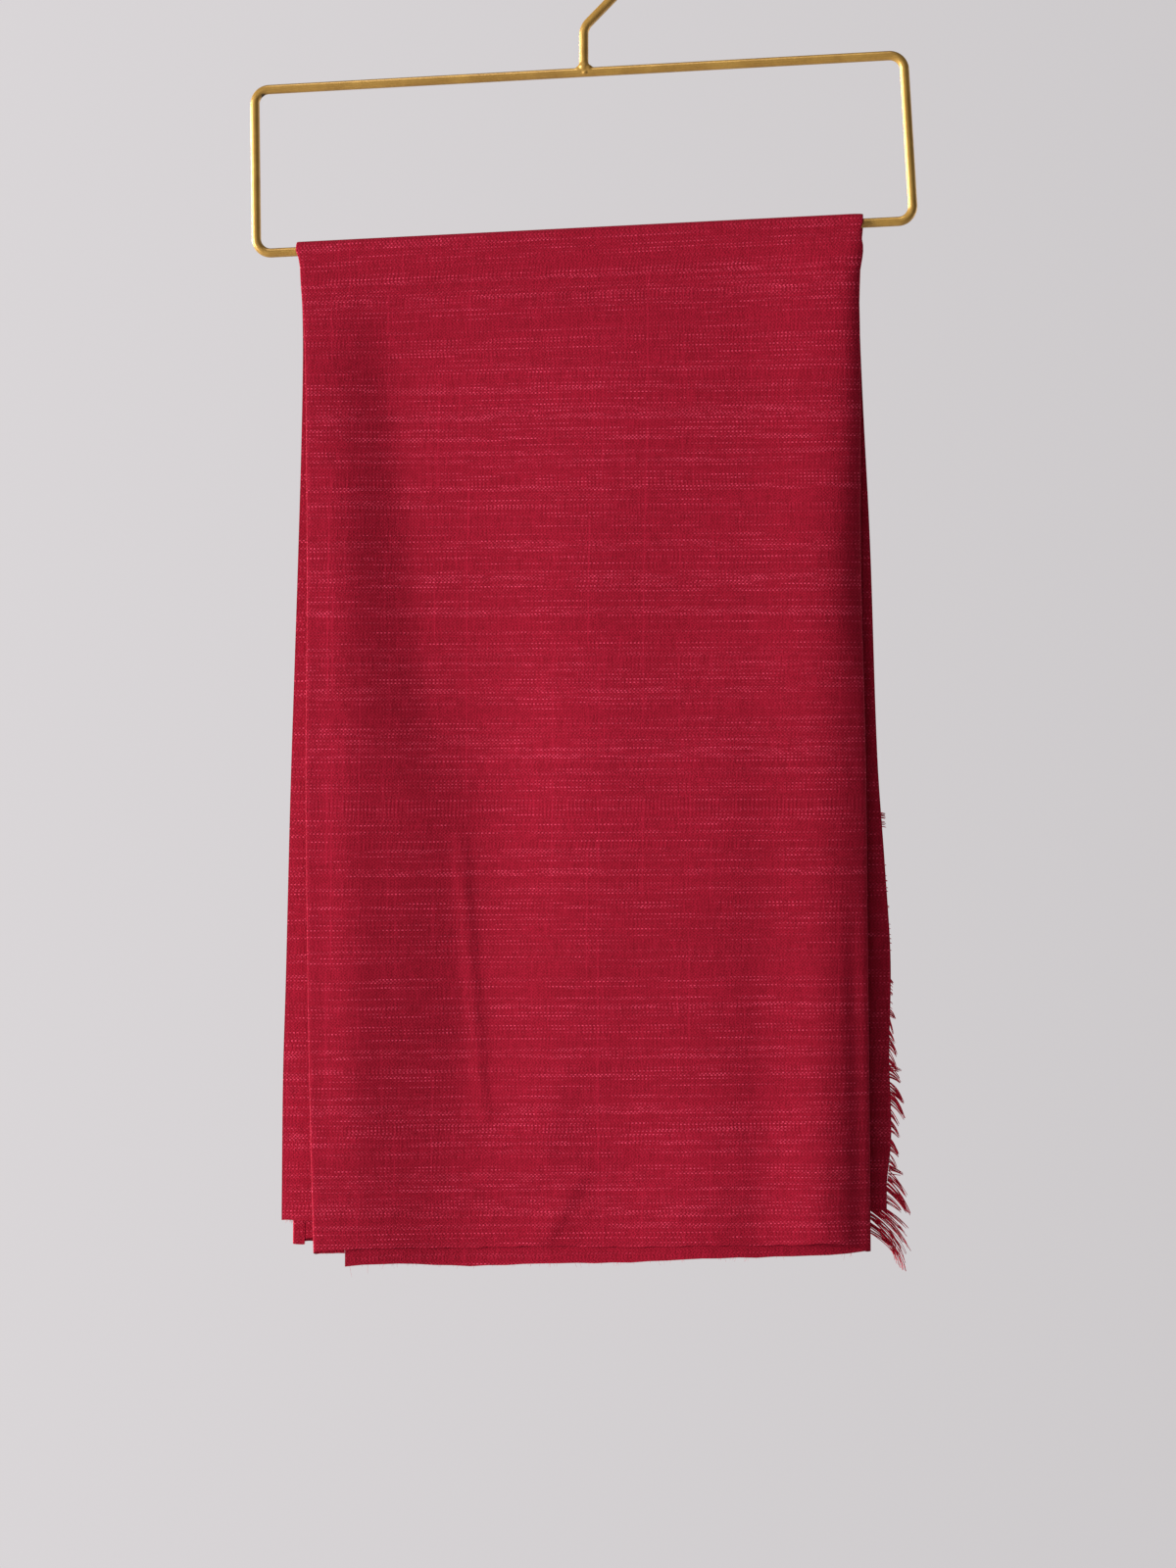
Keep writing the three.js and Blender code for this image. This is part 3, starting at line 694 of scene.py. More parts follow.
@dataclass(frozen=True)
class ThreadBundle:
    """Loose threads that make one piece."""

    name: str
    threads: Sequence[Thread]
    tip_share: float = 0.45

    def build(self, finish: Material) -> Object:
        """Draws each thread as a tapering round curve and joins them all as one mesh.

        Args:
            finish: the threads' material.

        Returns:
            The piece, not yet on a body.
        """
        curve = bpy.data.curves.new(self.name, "CURVE")
        curve.dimensions = "3D"
        curve.bevel_depth = MM
        curve.bevel_resolution = 0
        curve.use_fill_caps = True
        for thread in self.threads:
            spline = curve.splines.new("POLY")
            spline.points.add(len(thread.points) - 1)
            for i, point in enumerate(thread.points):
                share = i / (len(thread.points) - 1)
                spline.points[i].co = (*(point * MM), 1.0)
                spline.points[i].radius = thread.radius * mix(1.0, self.tip_share, share)
        holder = placed(self.name + ".curve", curve)
        mesh = evaluated(holder)
        bpy.data.objects.remove(holder)
        bpy.data.curves.remove(curve)
        bm = bmesh.new()
        bm.from_mesh(mesh)
        bpy.data.meshes.remove(mesh)
        bmesh.ops.remove_doubles(bm, verts=bm.verts, dist=MERGE)
        bmesh.ops.recalc_face_normals(bm, faces=bm.faces)
        obj = made(self.name, bm, finish)
        obj.data.shade_smooth()
        return obj


def bow(root: Vector, tip: Vector, bend: Pair, steps: int) -> tuple[Vector, ...]:
    """Points of a thread that leaves its root outwards and falls to its tip.

    Args:
        root: where it leaves the cloth.
        tip: where it ends.
        bend: where its knee lies, as shares of its reach outwards and downwards.
        steps: how many stretches it has.

    Returns:
        The points from the root to the tip.
    """
    reach = tip - root
    knee = root + Vector((reach.x * bend[0], reach.y * KNEE_DEPTH, reach.z * bend[1]))
    points = []
    for i in range(steps + 1):
        t = i / steps
        points.append(root * (1 - t) ** 2 + knee * (2 * t * (1 - t)) + tip * t * t)
    return tuple(points)


@dataclass(frozen=True)
class FrayedFringe:
    """The frayed end at the inner rear ply's right edge: its locks, drawn thread by thread."""

    seed: int = 7
    thread_r: float = 0.25
    root_inside: float = 0.5
    root_above: float = 0.4
    corner_x: float = 134
    fold_x: float = -8.2
    steps: int = 7
    loose: float = 0.035
    waver: float = 0.1
    stray: float = 0.06
    lengths: Pair = (0.76, 1.04)
    sizes: Pair = (0.75, 1.15)

    def threads(self) -> list[Thread]:
        """All threads of the fringe, from the top of the edge to its lower corner."""
        uneven = random.Random(self.seed)
        lowest = REAR.inner_hem.at(self.corner_x)
        corner = self._edge(lowest)
        threads = []
        for clump in EDGE_CLUMPS:
            reach = Vector((clump.out, 0, -clump.fall))
            tip = self._edge(clump.drop) + reach
            threads += self._lock(uneven, clump, tip, reach, lambda at: self._edge(min(at, lowest)))
        for clump in CORNER_CLUMPS:
            reach = Vector((clump.out - clump.drop, 0, -clump.fall))
            tip = corner + Vector((clump.out, 0, -clump.fall))
            above = corner + Vector((0, 0, self.root_above))
            threads += self._lock(uneven, clump, tip, reach, lambda at: above + Vector((at, 0, 0)))
        beside = corner + Vector((self.fold_x, 0, 0))
        for clump in FOLD_CLUMPS:
            tip = corner + Vector((clump.out, 0, -clump.fall))
            threads += self._lock(uneven, clump, tip, None, lambda at: beside - Vector((0, 0, at)))
        return threads

    def _lock(
        self,
        uneven: random.Random,
        clump: Clump,
        tip: Vector,
        reach: Optional[Vector],
        root_at: Callable[[float], Vector],
    ) -> list[Thread]:
        """The threads of one lock.

        Args:
            uneven: the source of uneven values.
            clump: the lock's sizes.
            tip: where its threads gather.
            reach: from a root to its own tip, or none where all end at the lock's.
            root_at: gives a root for its place along the lock's own line.

        Returns:
            The threads.
        """
        threads = []
        for _ in range(clump.threads):
            root = root_at(clump.drop + uneven.uniform(-1, 1) * clump.spread)
            own = tip if reach is None else root + reach
            threads.append(self._thread(uneven, root, own.lerp(tip, clump.gather), clump.knee))
        return threads

    def _edge(self, drop: float) -> Vector:
        """The inner rear ply's right edge at a drop below the bar, in mm."""
        x = REAR.inner_right.at(drop)
        return Vector((x, REAR.inner_edge(x, drop), BAR_Z + BAR_SLOPE * x - drop))

    def _thread(self, uneven: random.Random, root: Vector, tip: Vector, knee: Pair) -> Thread:
        """One thread between a root and a tip, made a little uneven."""
        reach = (tip - root).length
        loose = reach * self.loose
        own_tip = root.lerp(tip, uneven.uniform(*self.lengths)) + Vector((
            uneven.uniform(-loose, loose),
            uneven.uniform(-self.waver, self.waver) * reach,
            uneven.uniform(-loose, loose),
        ))
        start = root - Vector((self.root_inside, 0, 0))
        stray = uneven.uniform(-self.stray, self.stray)
        points = bow(start, own_tip, (knee[0] + stray, knee[1] - stray), self.steps)
        return Thread(points, self.thread_r * uneven.uniform(*self.sizes))


@dataclass(frozen=True)
class HemStretch:
    """A stretch of a ply's hem that hairs hang from, in mm, with the shares of them added up."""

    shares: float
    side: Side
    facing: int
    left: float
    right: float
    hem: Profile
    height: Callable[[float, float], float]


HEM_STRETCHES = (
    HemStretch(0.4, FRONT, 1, -104, 122, FRONT.turned_hem, FRONT.turned),
    HemStretch(0.55, FRONT, 1, -118, -106, FRONT.hem, FRONT.outer),
    HemStretch(0.8, REAR, -1, -130, 120, REAR.hem, REAR.outer),
    HemStretch(1.0, REAR, -1, -135, -122, REAR.inner_hem, REAR.inner_edge),
)


@dataclass(frozen=True)
class LooseThreads:
    """Fine hairs at the hems and the free edges of the plies."""

    seed: int = 19
    thread_r: float = 0.05
    hairs: int = 190
    steps: int = 4
    root_inside: float = 0.2
    long_ones: tuple[Pair, ...] = ((-103.5, 5.4), (-95.4, 4.2), (115.5, 3.0))
    lengths: Pair = (0.5, 2.2)
    waver_x: float = 0.5
    waver_y: float = 0.3
    bows: Pair = (0.1, 0.9)

    def threads(self) -> list[Thread]:
        """All hairs, the few long ones under the front hem first."""
        uneven = random.Random(self.seed)
        threads = [self._hair(uneven, HEM_STRETCHES[0], x, length) for x, length in self.long_ones]
        for _ in range(self.hairs):
            pick = uneven.random()
            stretch = next(item for item in HEM_STRETCHES if pick < item.shares)
            x = uneven.uniform(stretch.left, stretch.right)
            threads.append(self._hair(uneven, stretch, x, uneven.uniform(*self.lengths)))
        return threads

    def _hair(self, uneven: random.Random, stretch: HemStretch, x: float, length: float) -> Thread:
        """A hair of a length in mm that hangs from a hem, at a place across it."""
        drop = stretch.hem.at(x)
        y = -stretch.facing * stretch.height(x, min(drop, stretch.side.hem.at(0)))
        root = Vector((x, y, BAR_Z + BAR_SLOPE * x - drop + self.root_inside))
        tip = root + Vector((
            uneven.uniform(-self.waver_x, self.waver_x) * length,
            uneven.uniform(-self.waver_y, self.waver_y) * length,
            -length,
        ))
        out = uneven.uniform(*self.bows)
        return Thread(bow(root, tip, (out, 1 - out), self.steps), self.thread_r)


class DrawnWire:
    """A round wire in the XZ plane, drawn out of a circle, stretch by stretch, in mm."""

    merge = 2e-6
    dome_share = 0.7
    dome_flat = 0.4

    def __init__(self, x: float, z: float, heading: float, sides: int = 24) -> None:
        """Starts the wire.

        Args:
            x: where its middle starts across.
            z: where its middle starts up.
            heading: its direction in degrees, 0 to the right and 90 up.
            sides: how many sides its section has.
        """
        self.bm = bmesh.new()
        self.at = Vector((x, 0, z)) * MM
        self.heading = math.radians(heading)
        upright = Matrix.Rotation(math.pi / 2, 4, "Y")
        place = Matrix.Translation(self.at) @ Matrix.Rotation(-self.heading, 4, "Y") @ upright
        bmesh.ops.create_circle(self.bm, segments=sides, radius=WIRE_R * MM, matrix=place)
        self.ring = list(self.bm.edges)

    def _along(self) -> Vector:
        """The direction that the wire runs in now."""
        return Vector((math.cos(self.heading), 0, math.sin(self.heading)))

    def straight(self, length: float, steps: int = 1) -> "DrawnWire":
        """Draws a straight stretch of a length in mm."""
        for _ in range(steps):
            self._extrude(length / steps, 1.0)
        return self

    def bend(self, degrees: float, radius: float, steps: int) -> "DrawnWire":
        """Draws a bend.

        Args:
            degrees: how far it turns, to the left where positive.
            radius: the radius of its middle line, in mm.
            steps: how many stretches it has.

        Returns:
            The wire itself.
        """
        turn = math.radians(degrees)
        left = Vector((-math.sin(self.heading), 0, math.cos(self.heading)))
        centre = self.at + left * math.copysign(radius * MM, turn)
        geom = self.ring + list({v for edge in self.ring for v in edge.verts})
        spun = bmesh.ops.spin(self.bm, geom=geom, cent=centre, axis=(0, -1, 0), angle=turn, steps=steps)
        self.ring = [item for item in spun["geom_last"] if isinstance(item, BMEdge)]
        self.at = centre + Matrix.Rotation(-turn, 3, "Y") @ (self.at - centre)
        self.heading += turn
        return self

    def dome(self, steps: int = 4) -> "DrawnWire":
        """Ends the wire in a low rounded tip."""
        turn = math.pi / 2 / (steps + self.dome_flat)
        for i in range(1, steps + 1):
            after, before = turn * i, turn * (i - 1)
            length = WIRE_R * self.dome_share * (math.sin(after) - math.sin(before))
            self._extrude(length, math.cos(after) / math.cos(before))
        bmesh.ops.holes_fill(self.bm, edges=self.ring, sides=0)
        return self

    def _extrude(self, length: float, scale: float) -> None:
        """Draws the ring on by a length in mm and scales it."""
        drawn = bmesh.ops.extrude_edge_only(self.bm, edges=self.ring)
        verts = [item for item in drawn["geom"] if isinstance(item, BMVert)]
        edges = {edge for vert in verts for edge in vert.link_edges}
        self.ring = [edge for edge in edges if all(end in verts for end in edge.verts)]
        step = self._along() * length * MM
        bmesh.ops.translate(self.bm, verts=verts, vec=step)
        self.at += step
        if scale != 1.0:
            space = Matrix.Translation(-self.at)
            bmesh.ops.scale(self.bm, verts=verts, vec=(scale, scale, scale), space=space)

    def finish(self, name: str, material: Material) -> Object:
        """Closes the wire's seams and makes it an object.

        Args:
            name: the piece's name.
            material: its finish.

        Returns:
            The piece, not yet on a body.
        """
        bmesh.ops.remove_doubles(self.bm, verts=self.bm.verts, dist=self.merge)
        bmesh.ops.recalc_face_normals(self.bm, faces=self.bm.faces)
        obj = made(name, self.bm, material)
        obj.data.shade_smooth()
        return obj


@dataclass(frozen=True)
class HangerFrame:
    """The rectangular frame of round wire, a little wider at its lower bar, in mm."""

    top_w: float = 289.1
    bottom_w: float = 292.7
    centre_x: float = -3.28
    corner_r: float = 6.5
    corner_steps: int = 12
    half_steps: int = 12
    side_steps: int = 5

    def build(self, finish: Material) -> Object:
        """Draws the frame from the middle of its lower bar round to it again, and tilts it.

        Args:
            finish: the gold paint.

        Returns:
            The piece.
        """
        flare = math.atan2((self.bottom_w - self.top_w) / 2, FRAME_H)
        lower, upper = math.pi / 2 + flare, math.pi / 2 - flare
        lower_cut = self.corner_r * math.tan(lower / 2)
        upper_cut = self.corner_r * math.tan(upper / 2)
        side = FRAME_H / math.cos(flare) - lower_cut - upper_cut
        half_bottom = self.bottom_w / 2 - lower_cut
        wire = DrawnWire(self.centre_x, WELD_Z - FRAME_H, 0)
        wire.straight(half_bottom, self.half_steps)
        for angle, length, steps in (
            (lower, side, self.side_steps),
            (upper, self.top_w - 2 * upper_cut, 2 * self.half_steps),
            (upper, side, self.side_steps),
            (lower, half_bottom, self.half_steps),
        ):
            wire.bend(math.degrees(angle), self.corner_r, self.corner_steps).straight(length, steps)
        weld, tilt = Vector((0, 0, WELD_Z)) * MM, Matrix.Rotation(-TILT, 3, "Y")
        bmesh.ops.rotate(wire.bm, verts=wire.bm.verts, cent=weld, matrix=tilt)
        return ride(wire.finish("frame_wire", finish), Slot.GOLD, "hanger_frame")


@dataclass(frozen=True)
class HangerHook:
    """The stem, its bend and the crook, in mm; the weld that holds them on the frame is a piece of its own.
    """

    crook_r: float = 22.4
    stem_bend_r: float = 8.0
    start_degrees: float = -45.0
    end_degrees: float = 205.0
    stem_steps: int = 3
    bend_steps: int = 8
    slant_steps: int = 2
    crook_steps: int = 56
    tip: float = 0.3

    def build(self, finish: Material) -> Object:
        """Draws the hook from the frame's upper bar to its tip.

        Args:
            finish: the gold paint.

        Returns:
            The piece.
        """
        centre_z = WIRE_R - self.crook_r
        slant_z = centre_z - self.crook_r * math.sqrt(2)
        bend = 90 + self.start_degrees
        cut = self.stem_bend_r * math.tan(math.radians(bend) / 2)
        wire = DrawnWire(0, WELD_Z, 90)
        wire.straight(slant_z - WELD_Z - cut, self.stem_steps)
        wire.bend(-bend, self.stem_bend_r, self.bend_steps)
        wire.straight(self.crook_r - cut, self.slant_steps)
        wire.bend(self.end_degrees - self.start_degrees, self.crook_r, self.crook_steps)
        wire.straight(self.tip).dome()
        return ride(wire.finish("hook_wire", finish), Slot.GOLD, "hanger_hook")


@dataclass(frozen=True)
class WeldBead:
    """The weld that holds the hook on the frame, melted out of lumps and stubs of wire, in mm."""

    lumps: tuple[tuple[tuple[float, ...], tuple[float, ...]], ...] = (
        ((2.7, 2.35, 2.2), (0.1, -0.2, 2.5)),
        ((1.9, 1.7, 1.3), (2.1, -0.5, 2.0)),
        ((1.3, 1.4, 0.9), (-2.2, -0.3, 1.9)),
        ((1.0, 0.9, 0.7), (0.6, -1.75, -0.4)),
    )
    stub_r: float = WIRE_R + 0.02
    frame_stub: float = 16
    hook_stub: float = 9
    hook_stub_z: float = 4
    sides: int = 32
    voxel: float = 0.3
    rounds: int = 9

    def build(self, finish: Material) -> Object:
        """Melts the lumps and short stubs of both wires into one filleted weld.

        Args:
            finish: the gold paint.

        Returns:
            The piece.
        """
        bm = bmesh.new()
        at = Vector((0, 0, WELD_Z)) * MM
        for size, place in self.lumps:
            lump = bmesh.ops.create_icosphere(bm, subdivisions=3, radius=MM)["verts"]
            bmesh.ops.scale(bm, verts=lump, vec=size)
            bmesh.ops.translate(bm, verts=lump, vec=at + Vector(place) * MM)
        lie = Matrix.Translation(at) @ Matrix.Rotation(math.pi / 2 - TILT, 4, "Y")
        rise = Matrix.Translation(at + Vector((0, 0, self.hook_stub_z * MM)))
        radius = self.stub_r * MM
        for matrix, length in ((lie, self.frame_stub), (rise, self.hook_stub)):
            size = {"radius1": radius, "radius2": radius, "depth": length * MM}
            bmesh.ops.create_cone(bm, cap_ends=True, segments=self.sides, matrix=matrix, **size)
        obj = made("weld_bead", bm, finish)
        remesh = obj.modifiers.new("melt", "REMESH")
        remesh.mode = "VOXEL"
        remesh.voxel_size = self.voxel * MM
        settle(obj, ALL_SMOOTH)
        bm = bmesh.new()
        bm.from_mesh(obj.data)
        axes = {"use_axis_" + axis: True for axis in "xyz"}
        for _ in range(self.rounds):
            bmesh.ops.smooth_vert(bm, verts=bm.verts, factor=0.5, **axes)
        bmesh.ops.recalc_face_normals(bm, faces=bm.faces)
        bm.to_mesh(obj.data)
        bm.free()
        obj.data.shade_smooth()
        return ride(obj, Slot.GOLD)


Number = Union[float, int, "Value"]
Colour = tuple[float, float, float, float]


def sign(operation: str, swap: bool = False) -> Callable[["Value", Number], "Value"]:
    """A Python sign for values, which adds a Math node of an operation."""

    def apply(value: "Value", other: Number) -> "Value":
        """Joins the value and another number."""
        return value.math(operation, other, swap=swap)

    return apply


class Value:
    """A number socket, on which Python's signs build Math nodes."""

    def __init__(self, graph: "Graph", socket: NodeSocket) -> None:
        """Wraps a socket of a graph."""
        self.graph = graph
        self.socket = socket

    def math(self, operation: str, *others: Number, swap: bool = False) -> "Value":
        """Adds a Math node.

        Args:
            operation: the node's operation.
            *others: its further inputs.
            swap: True where this value comes second.

        Returns:
            The node's result.
        """
        inputs: list[Number] = [self, *others]
        if swap:
            inputs = inputs[::-1]
        sockets = {i: item for i, item in enumerate(inputs)}
        return self.graph.value("ShaderNodeMath", {"operation": operation}, sockets)

    __add__ = sign("ADD")
    __sub__ = sign("SUBTRACT")
    __rsub__ = sign("SUBTRACT", swap=True)
    __mul__ = sign("MULTIPLY")
    __truediv__ = sign("DIVIDE")

    def ease(self, start: float, stop: float) -> "Value":
        """Eases from 0 where the value is start to 1 where it is stop."""
        sockets = {"Value": self, "From Min": start, "From Max": stop}
        settings = {"interpolation_type": "SMOOTHSTEP"}
        return self.graph.value("ShaderNodeMapRange", settings, sockets)


class Graph:
    """A tree of nodes that short calls add to."""

    def __init__(self, tree: NodeTree) -> None:
        """Wraps a tree."""
        self.tree = tree

    def node(self, kind: str, settings: Optional[dict] = None, sockets: Optional[dict] = None) -> Node:
        """Adds a node.

        Args:
            kind: the node's type.
            settings: its settings, which are set first.
            sockets: the values or links of its inputs, by name or number.

        Returns:
            The node.
        """
        node = self.tree.nodes.new(kind)
        for key, item in (settings or {}).items():
            setattr(node, key, item)
        for key, item in (sockets or {}).items():
            self.feed(node.inputs[key], item)
        return node

    def feed(self, socket: NodeSocket, item: object) -> None:
        """Sets a socket to a number or colour, or links it to a value or a socket."""
        if isinstance(item, Value):
            item = item.socket
        if isinstance(item, NodeSocket):
            self.tree.links.new(item, socket)
        else:
            socket.default_value = item

    def value(self, kind: str, settings: dict, sockets: dict, output: Union[int, str] = 0) -> Value:
        """Adds a node and wraps its numeric output."""
        return Value(self, self.node(kind, settings, sockets).outputs[output])

    def vector(self, x: Number, y: Number, z: Number = 0.0) -> NodeSocket:
        """A vector of three numbers."""
        return self.node("ShaderNodeCombineXYZ", None, {0: x, 1: y, 2: z}).outputs[0]

    def noise(self, vector: NodeSocket, scale: float = 1.0, detail: float = 2.0) -> Value:
        """Noise from 0 to 1 at a vector."""
        sockets = {"Vector": vector, "Scale": scale, "Detail": detail}
        return self.value("ShaderNodeTexNoise", {"noise_dimensions": "3D"}, sockets, "Fac")

    def random_at(self, number: Value) -> Value:
        """A random value from 0 to 1 for each whole number."""
        return self.value("ShaderNodeTexWhiteNoise", {"noise_dimensions": "1D"}, {"W": number}, "Value")

    def blend(self, share: Number, low: object, high: object) -> NodeSocket:
        """Mixes two colours."""
        node = self.node("ShaderNodeMix", {"data_type": "RGBA"})
        colour_a, colour_b, result = node.inputs[6], node.inputs[7], node.outputs[2]
        self.feed(node.inputs[0], share)
        self.feed(colour_a, low)
        self.feed(colour_b, high)
        return result


class Paint(Graph):
    """A material's nodes, which end in its Principled shader."""

    def __init__(self, name: str) -> None:
        """Starts a material of a name."""
        self.material = bpy.data.materials.new(name)
        self.material.use_nodes = True
        super().__init__(self.material.node_tree)
        self.shader = self.tree.nodes["Principled BSDF"]
        self.place = self.node("ShaderNodeTexCoord").outputs["Object"]

    def relief(self, height: Value, distance: float, strength: float) -> None:
        """Feeds the shader's normal with a bump of a height, a distance in mm and a strength."""
        sockets = {"Height": height, "Distance": distance * MM, "Strength": strength}
        bump = self.node("ShaderNodeBump", None, sockets)
        self.feed(self.shader.inputs["Normal"], bump.outputs[0])

    def shade(self, **sockets: object) -> Material:
        """Sets the shader's sockets, whose names have _ for a space, and gives the material."""
        for key, item in sockets.items():
            self.feed(self.shader.inputs[key.replace("_", " ")], item)
        return self.material


@dataclass(frozen=True)
class Grain:
    """Soft noise on the weave map: its sizes in mm, its seed, its detail and how strong it is."""

    across: float
    along: float
    seed: float
    detail: int
    strength: float

    def at(self, g: Graph, u: Value, v: Value) -> Value:
        """The noise at a place, from minus half of its strength to plus half."""
        soft = g.noise(g.vector(u / self.across, v / self.along, self.seed), 1, self.detail)
        return (soft - 0.5) * self.strength


@dataclass(frozen=True)
class SlubWeave:
    """The cloth: a plain crimson weave with uneven brighter weft slubs, in mm."""

    name: str = "crimson_slub_weave"
    deep: Colour = (0.235, 0.0045, 0.0155, 1)
    plain: Colour = (0.405, 0.0095, 0.033, 1)
    slub: Colour = (0.86, 0.072, 0.15, 1)
    pitch: float = 0.72
    stitch: float = 1.7
    stagger: float = 0.5
    jitter: float = 0.3
    streak_length: float = 20
    end_length: float = 45
    row_shift: float = 90
    row_apart: float = 3.7
    float_apart: Pair = (0.43, 3.17)
    end_apart: float = 5.3
    chance_weight: float = 0.8
    slub_rows: Pair = (0.29, 0.71)
    streaks: Pair = (0.36, 0.64)
    strand: Pair = (0.1, 0.6)
    stitches: Pair = (0.3, 0.75)
    floats: Pair = (0.35, 0.62)
    float_weight: float = 0.7
    check_weight: float = 0.7
    rare_ends: Pair = (0.86, 0.99)
    end_runs: Pair = (0.46, 0.62)
    end_weight: float = 0.5
    tones: Pair = (-0.1, 1.1)
    slub_height: float = 0.8
    relief_mm: float = 0.16
    relief_strength: float = 0.55
    wander: Grain = Grain(130, 70, 0, 1, 0.9)
    crowd: Grain = Grain(105, 8.5, 3, 2, 0.7)
    ribs: Grain = Grain(0.8, 9, 0, 2, 1.2)
    picks: Grain = Grain(7, 0.75, 5, 2, 0.9)
    grain: Grain = Grain(0.5, 0.5, 17, 1, 1.6)
    clouds: Grain = Grain(60, 16, 7, 3, 0.3)
    broad: Grain = Grain(90, 90, 11, 1, 0.3)

    def build(self) -> Material:
        """Makes the material from the piece's own weave map."""
        g = Paint(self.name)
        uv = g.node("ShaderNodeUVMap", {"uv_map": "weave"}).outputs[0]
        split = g.node("ShaderNodeSeparateXYZ", None, {0: uv})
        u = Value(g, split.outputs[0]) / MM
        v = Value(g, split.outputs[1]) / MM

        # The rows of the weft: which have a slub, and where along them it runs
        weft = (v + self.wander.at(g, u, v)) / self.pitch
        row = weft.math("FLOOR")
        chance, other = g.random_at(row), g.random_at(row + 0.5)
        present = (chance * self.chance_weight + self.crowd.at(g, u, v)).ease(*self.slub_rows)
        run = g.vector(u / self.streak_length + other * self.row_shift, row * self.row_apart)
        streak = g.noise(run, 1, 3).ease(*self.streaks)
        strand = ((weft.math("FRACT") * 2 - 1).math("ABSOLUTE") * -1 + 1).ease(*self.strand)

        # The stitches in a row, staggered from row to row
        count = u / self.stitch + row.math("MODULO", 2) * self.stagger + other * self.jitter
        beat = 1 - (count.math("FRACT") * 2 - 1).math("ABSOLUTE")
        across, down = self.float_apart
        floats = g.noise(g.vector(count.math("FLOOR") * across, row * down, 2.0), 1, 1).ease(*self.floats)
        stitch = beat.ease(*self.stitches) * (floats * self.float_weight + (1 - self.float_weight))
        slub = present * streak * strand * stitch

        # A few bright ends of the warp, and the cloth's own grain
        end = (u / self.pitch).math("FLOOR")
        rare = g.random_at(end + 0.25).ease(*self.rare_ends)
        runs = g.noise(g.vector(v / self.end_length, end * self.end_apart, 9.0), 1, 1).ease(*self.end_runs)
        fine = (beat - 0.5) * self.check_weight
        for grain in (self.ribs, self.picks, self.grain):
            fine = fine + grain.at(g, u, v)
        tone = fine + self.clouds.at(g, u, v) + self.broad.at(g, u, v) + rare * runs * self.end_weight + 0.5
        cloth = g.blend(tone.ease(*self.tones), self.deep, self.plain)
        g.relief(slub * self.slub_height + fine + 0.5, self.relief_mm, self.relief_strength)
        return g.shade(
            Base_Color=g.blend(slub, cloth, self.slub),
            Roughness=0.86,
            Specular_IOR_Level=0.08,
            Sheen_Weight=0.05,
            Sheen_Roughness=0.45,
            Sheen_Tint=(0.95, 0.25, 0.35, 1),
        )


@dataclass(frozen=True)
class ThreadFinish:
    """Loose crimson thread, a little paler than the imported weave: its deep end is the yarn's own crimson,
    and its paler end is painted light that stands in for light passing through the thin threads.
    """

    name: str = "crimson_thread"
    deep: Colour = (0.40, 0.006, 0.022, 1)
    # painted light: the pale end lifts the threads as if light shone through them
    pale: Colour = (0.66, 0.016, 0.056, 1)
    scale: float = 900
    tones: Pair = (0.35, 0.7)

    def build(self) -> Material:
        """Makes the material from the piece's place."""
        g = Paint(self.name)
        tone = g.noise(g.place, self.scale, 2)
        return g.shade(
            Base_Color=g.blend(tone.ease(*self.tones), self.deep, self.pale),
            Roughness=0.8,
            Specular_IOR_Level=0.2,
        )


@dataclass(frozen=True)
class GoldPaint:
    """Satin gold paint on wire, with lumps in the coat and a few dark chips, in mm."""

    name: str = "gold_paint"
    deep: Colour = (0.40, 0.215, 0.040, 1)
    plain: Colour = (0.545, 0.315, 0.065, 1)
    chip: Colour = (0.045, 0.038, 0.030, 1)
    chips: tuple[tuple[float, float, float, float], ...] = (
        (-143.3, -1.0, -80.6, 2.4),
        (138.2, -1.2, -136.2, 2.2),
    )
    chip_core: float = 0.45
    fleck_scale: float = 1100
    flecks: Pair = (0.42, 0.5)
    scales: tuple[float, float, float] = (1500, 420, 60)
    tones: Pair = (0.3, 0.7)
    relief_mm: float = 0.12
    relief_strength: float = 0.5
    roughness: float = 0.38

    def build(self) -> Material:
        """Makes the material from the piece's place."""
        g = Paint(self.name)
        grain, lumps, clouds = (g.noise(g.place, scale, 2) for scale in self.scales)
        tone = clouds * 0.6 + lumps * 0.25 + grain * 0.15
        gold = g.blend(tone.ease(*self.tones), self.deep, self.plain)
        flecks = g.noise(g.place, self.fleck_scale, 1).ease(*self.flecks)
        bare: Number = 0.0
        for x, y, z, size in self.chips:
            spot = tuple(item * MM for item in (x, y, z))
            reach = g.node("ShaderNodeVectorMath", {"operation": "DISTANCE"}, {0: g.place, 1: spot})
            near = Value(g, reach.outputs["Value"]).ease(size * MM, size * self.chip_core * MM)
            bare = near * flecks + bare
        height = lumps * 0.7 + grain * 0.3 - bare * 0.8
        g.relief(height, self.relief_mm, self.relief_strength)
        return g.shade(
            Base_Color=g.blend(bare, gold, self.chip),
            Roughness=grain * 0.12 + self.roughness + bare * 0.4,
            Metallic=0.45,
            Coat_Weight=0.15,
            Coat_Roughness=0.3,
        )


@dataclass(frozen=True)
class PaleFinish:
    """Plain matt floor."""

    name: str = "pale_floor"
    colour: Colour = (0.62, 0.60, 0.61, 1)
    scale: float = 6
    shade: float = 0.96

    def build(self) -> Material:
        """Makes the material."""
        g = Paint(self.name)
        tone = g.noise(g.place, self.scale, 2)
        pale = g.blend(tone, self.colour, tuple(c * self.shade for c in self.colour[:3]) + (1,))
        return g.shade(Base_Color=pale, Roughness=0.9)


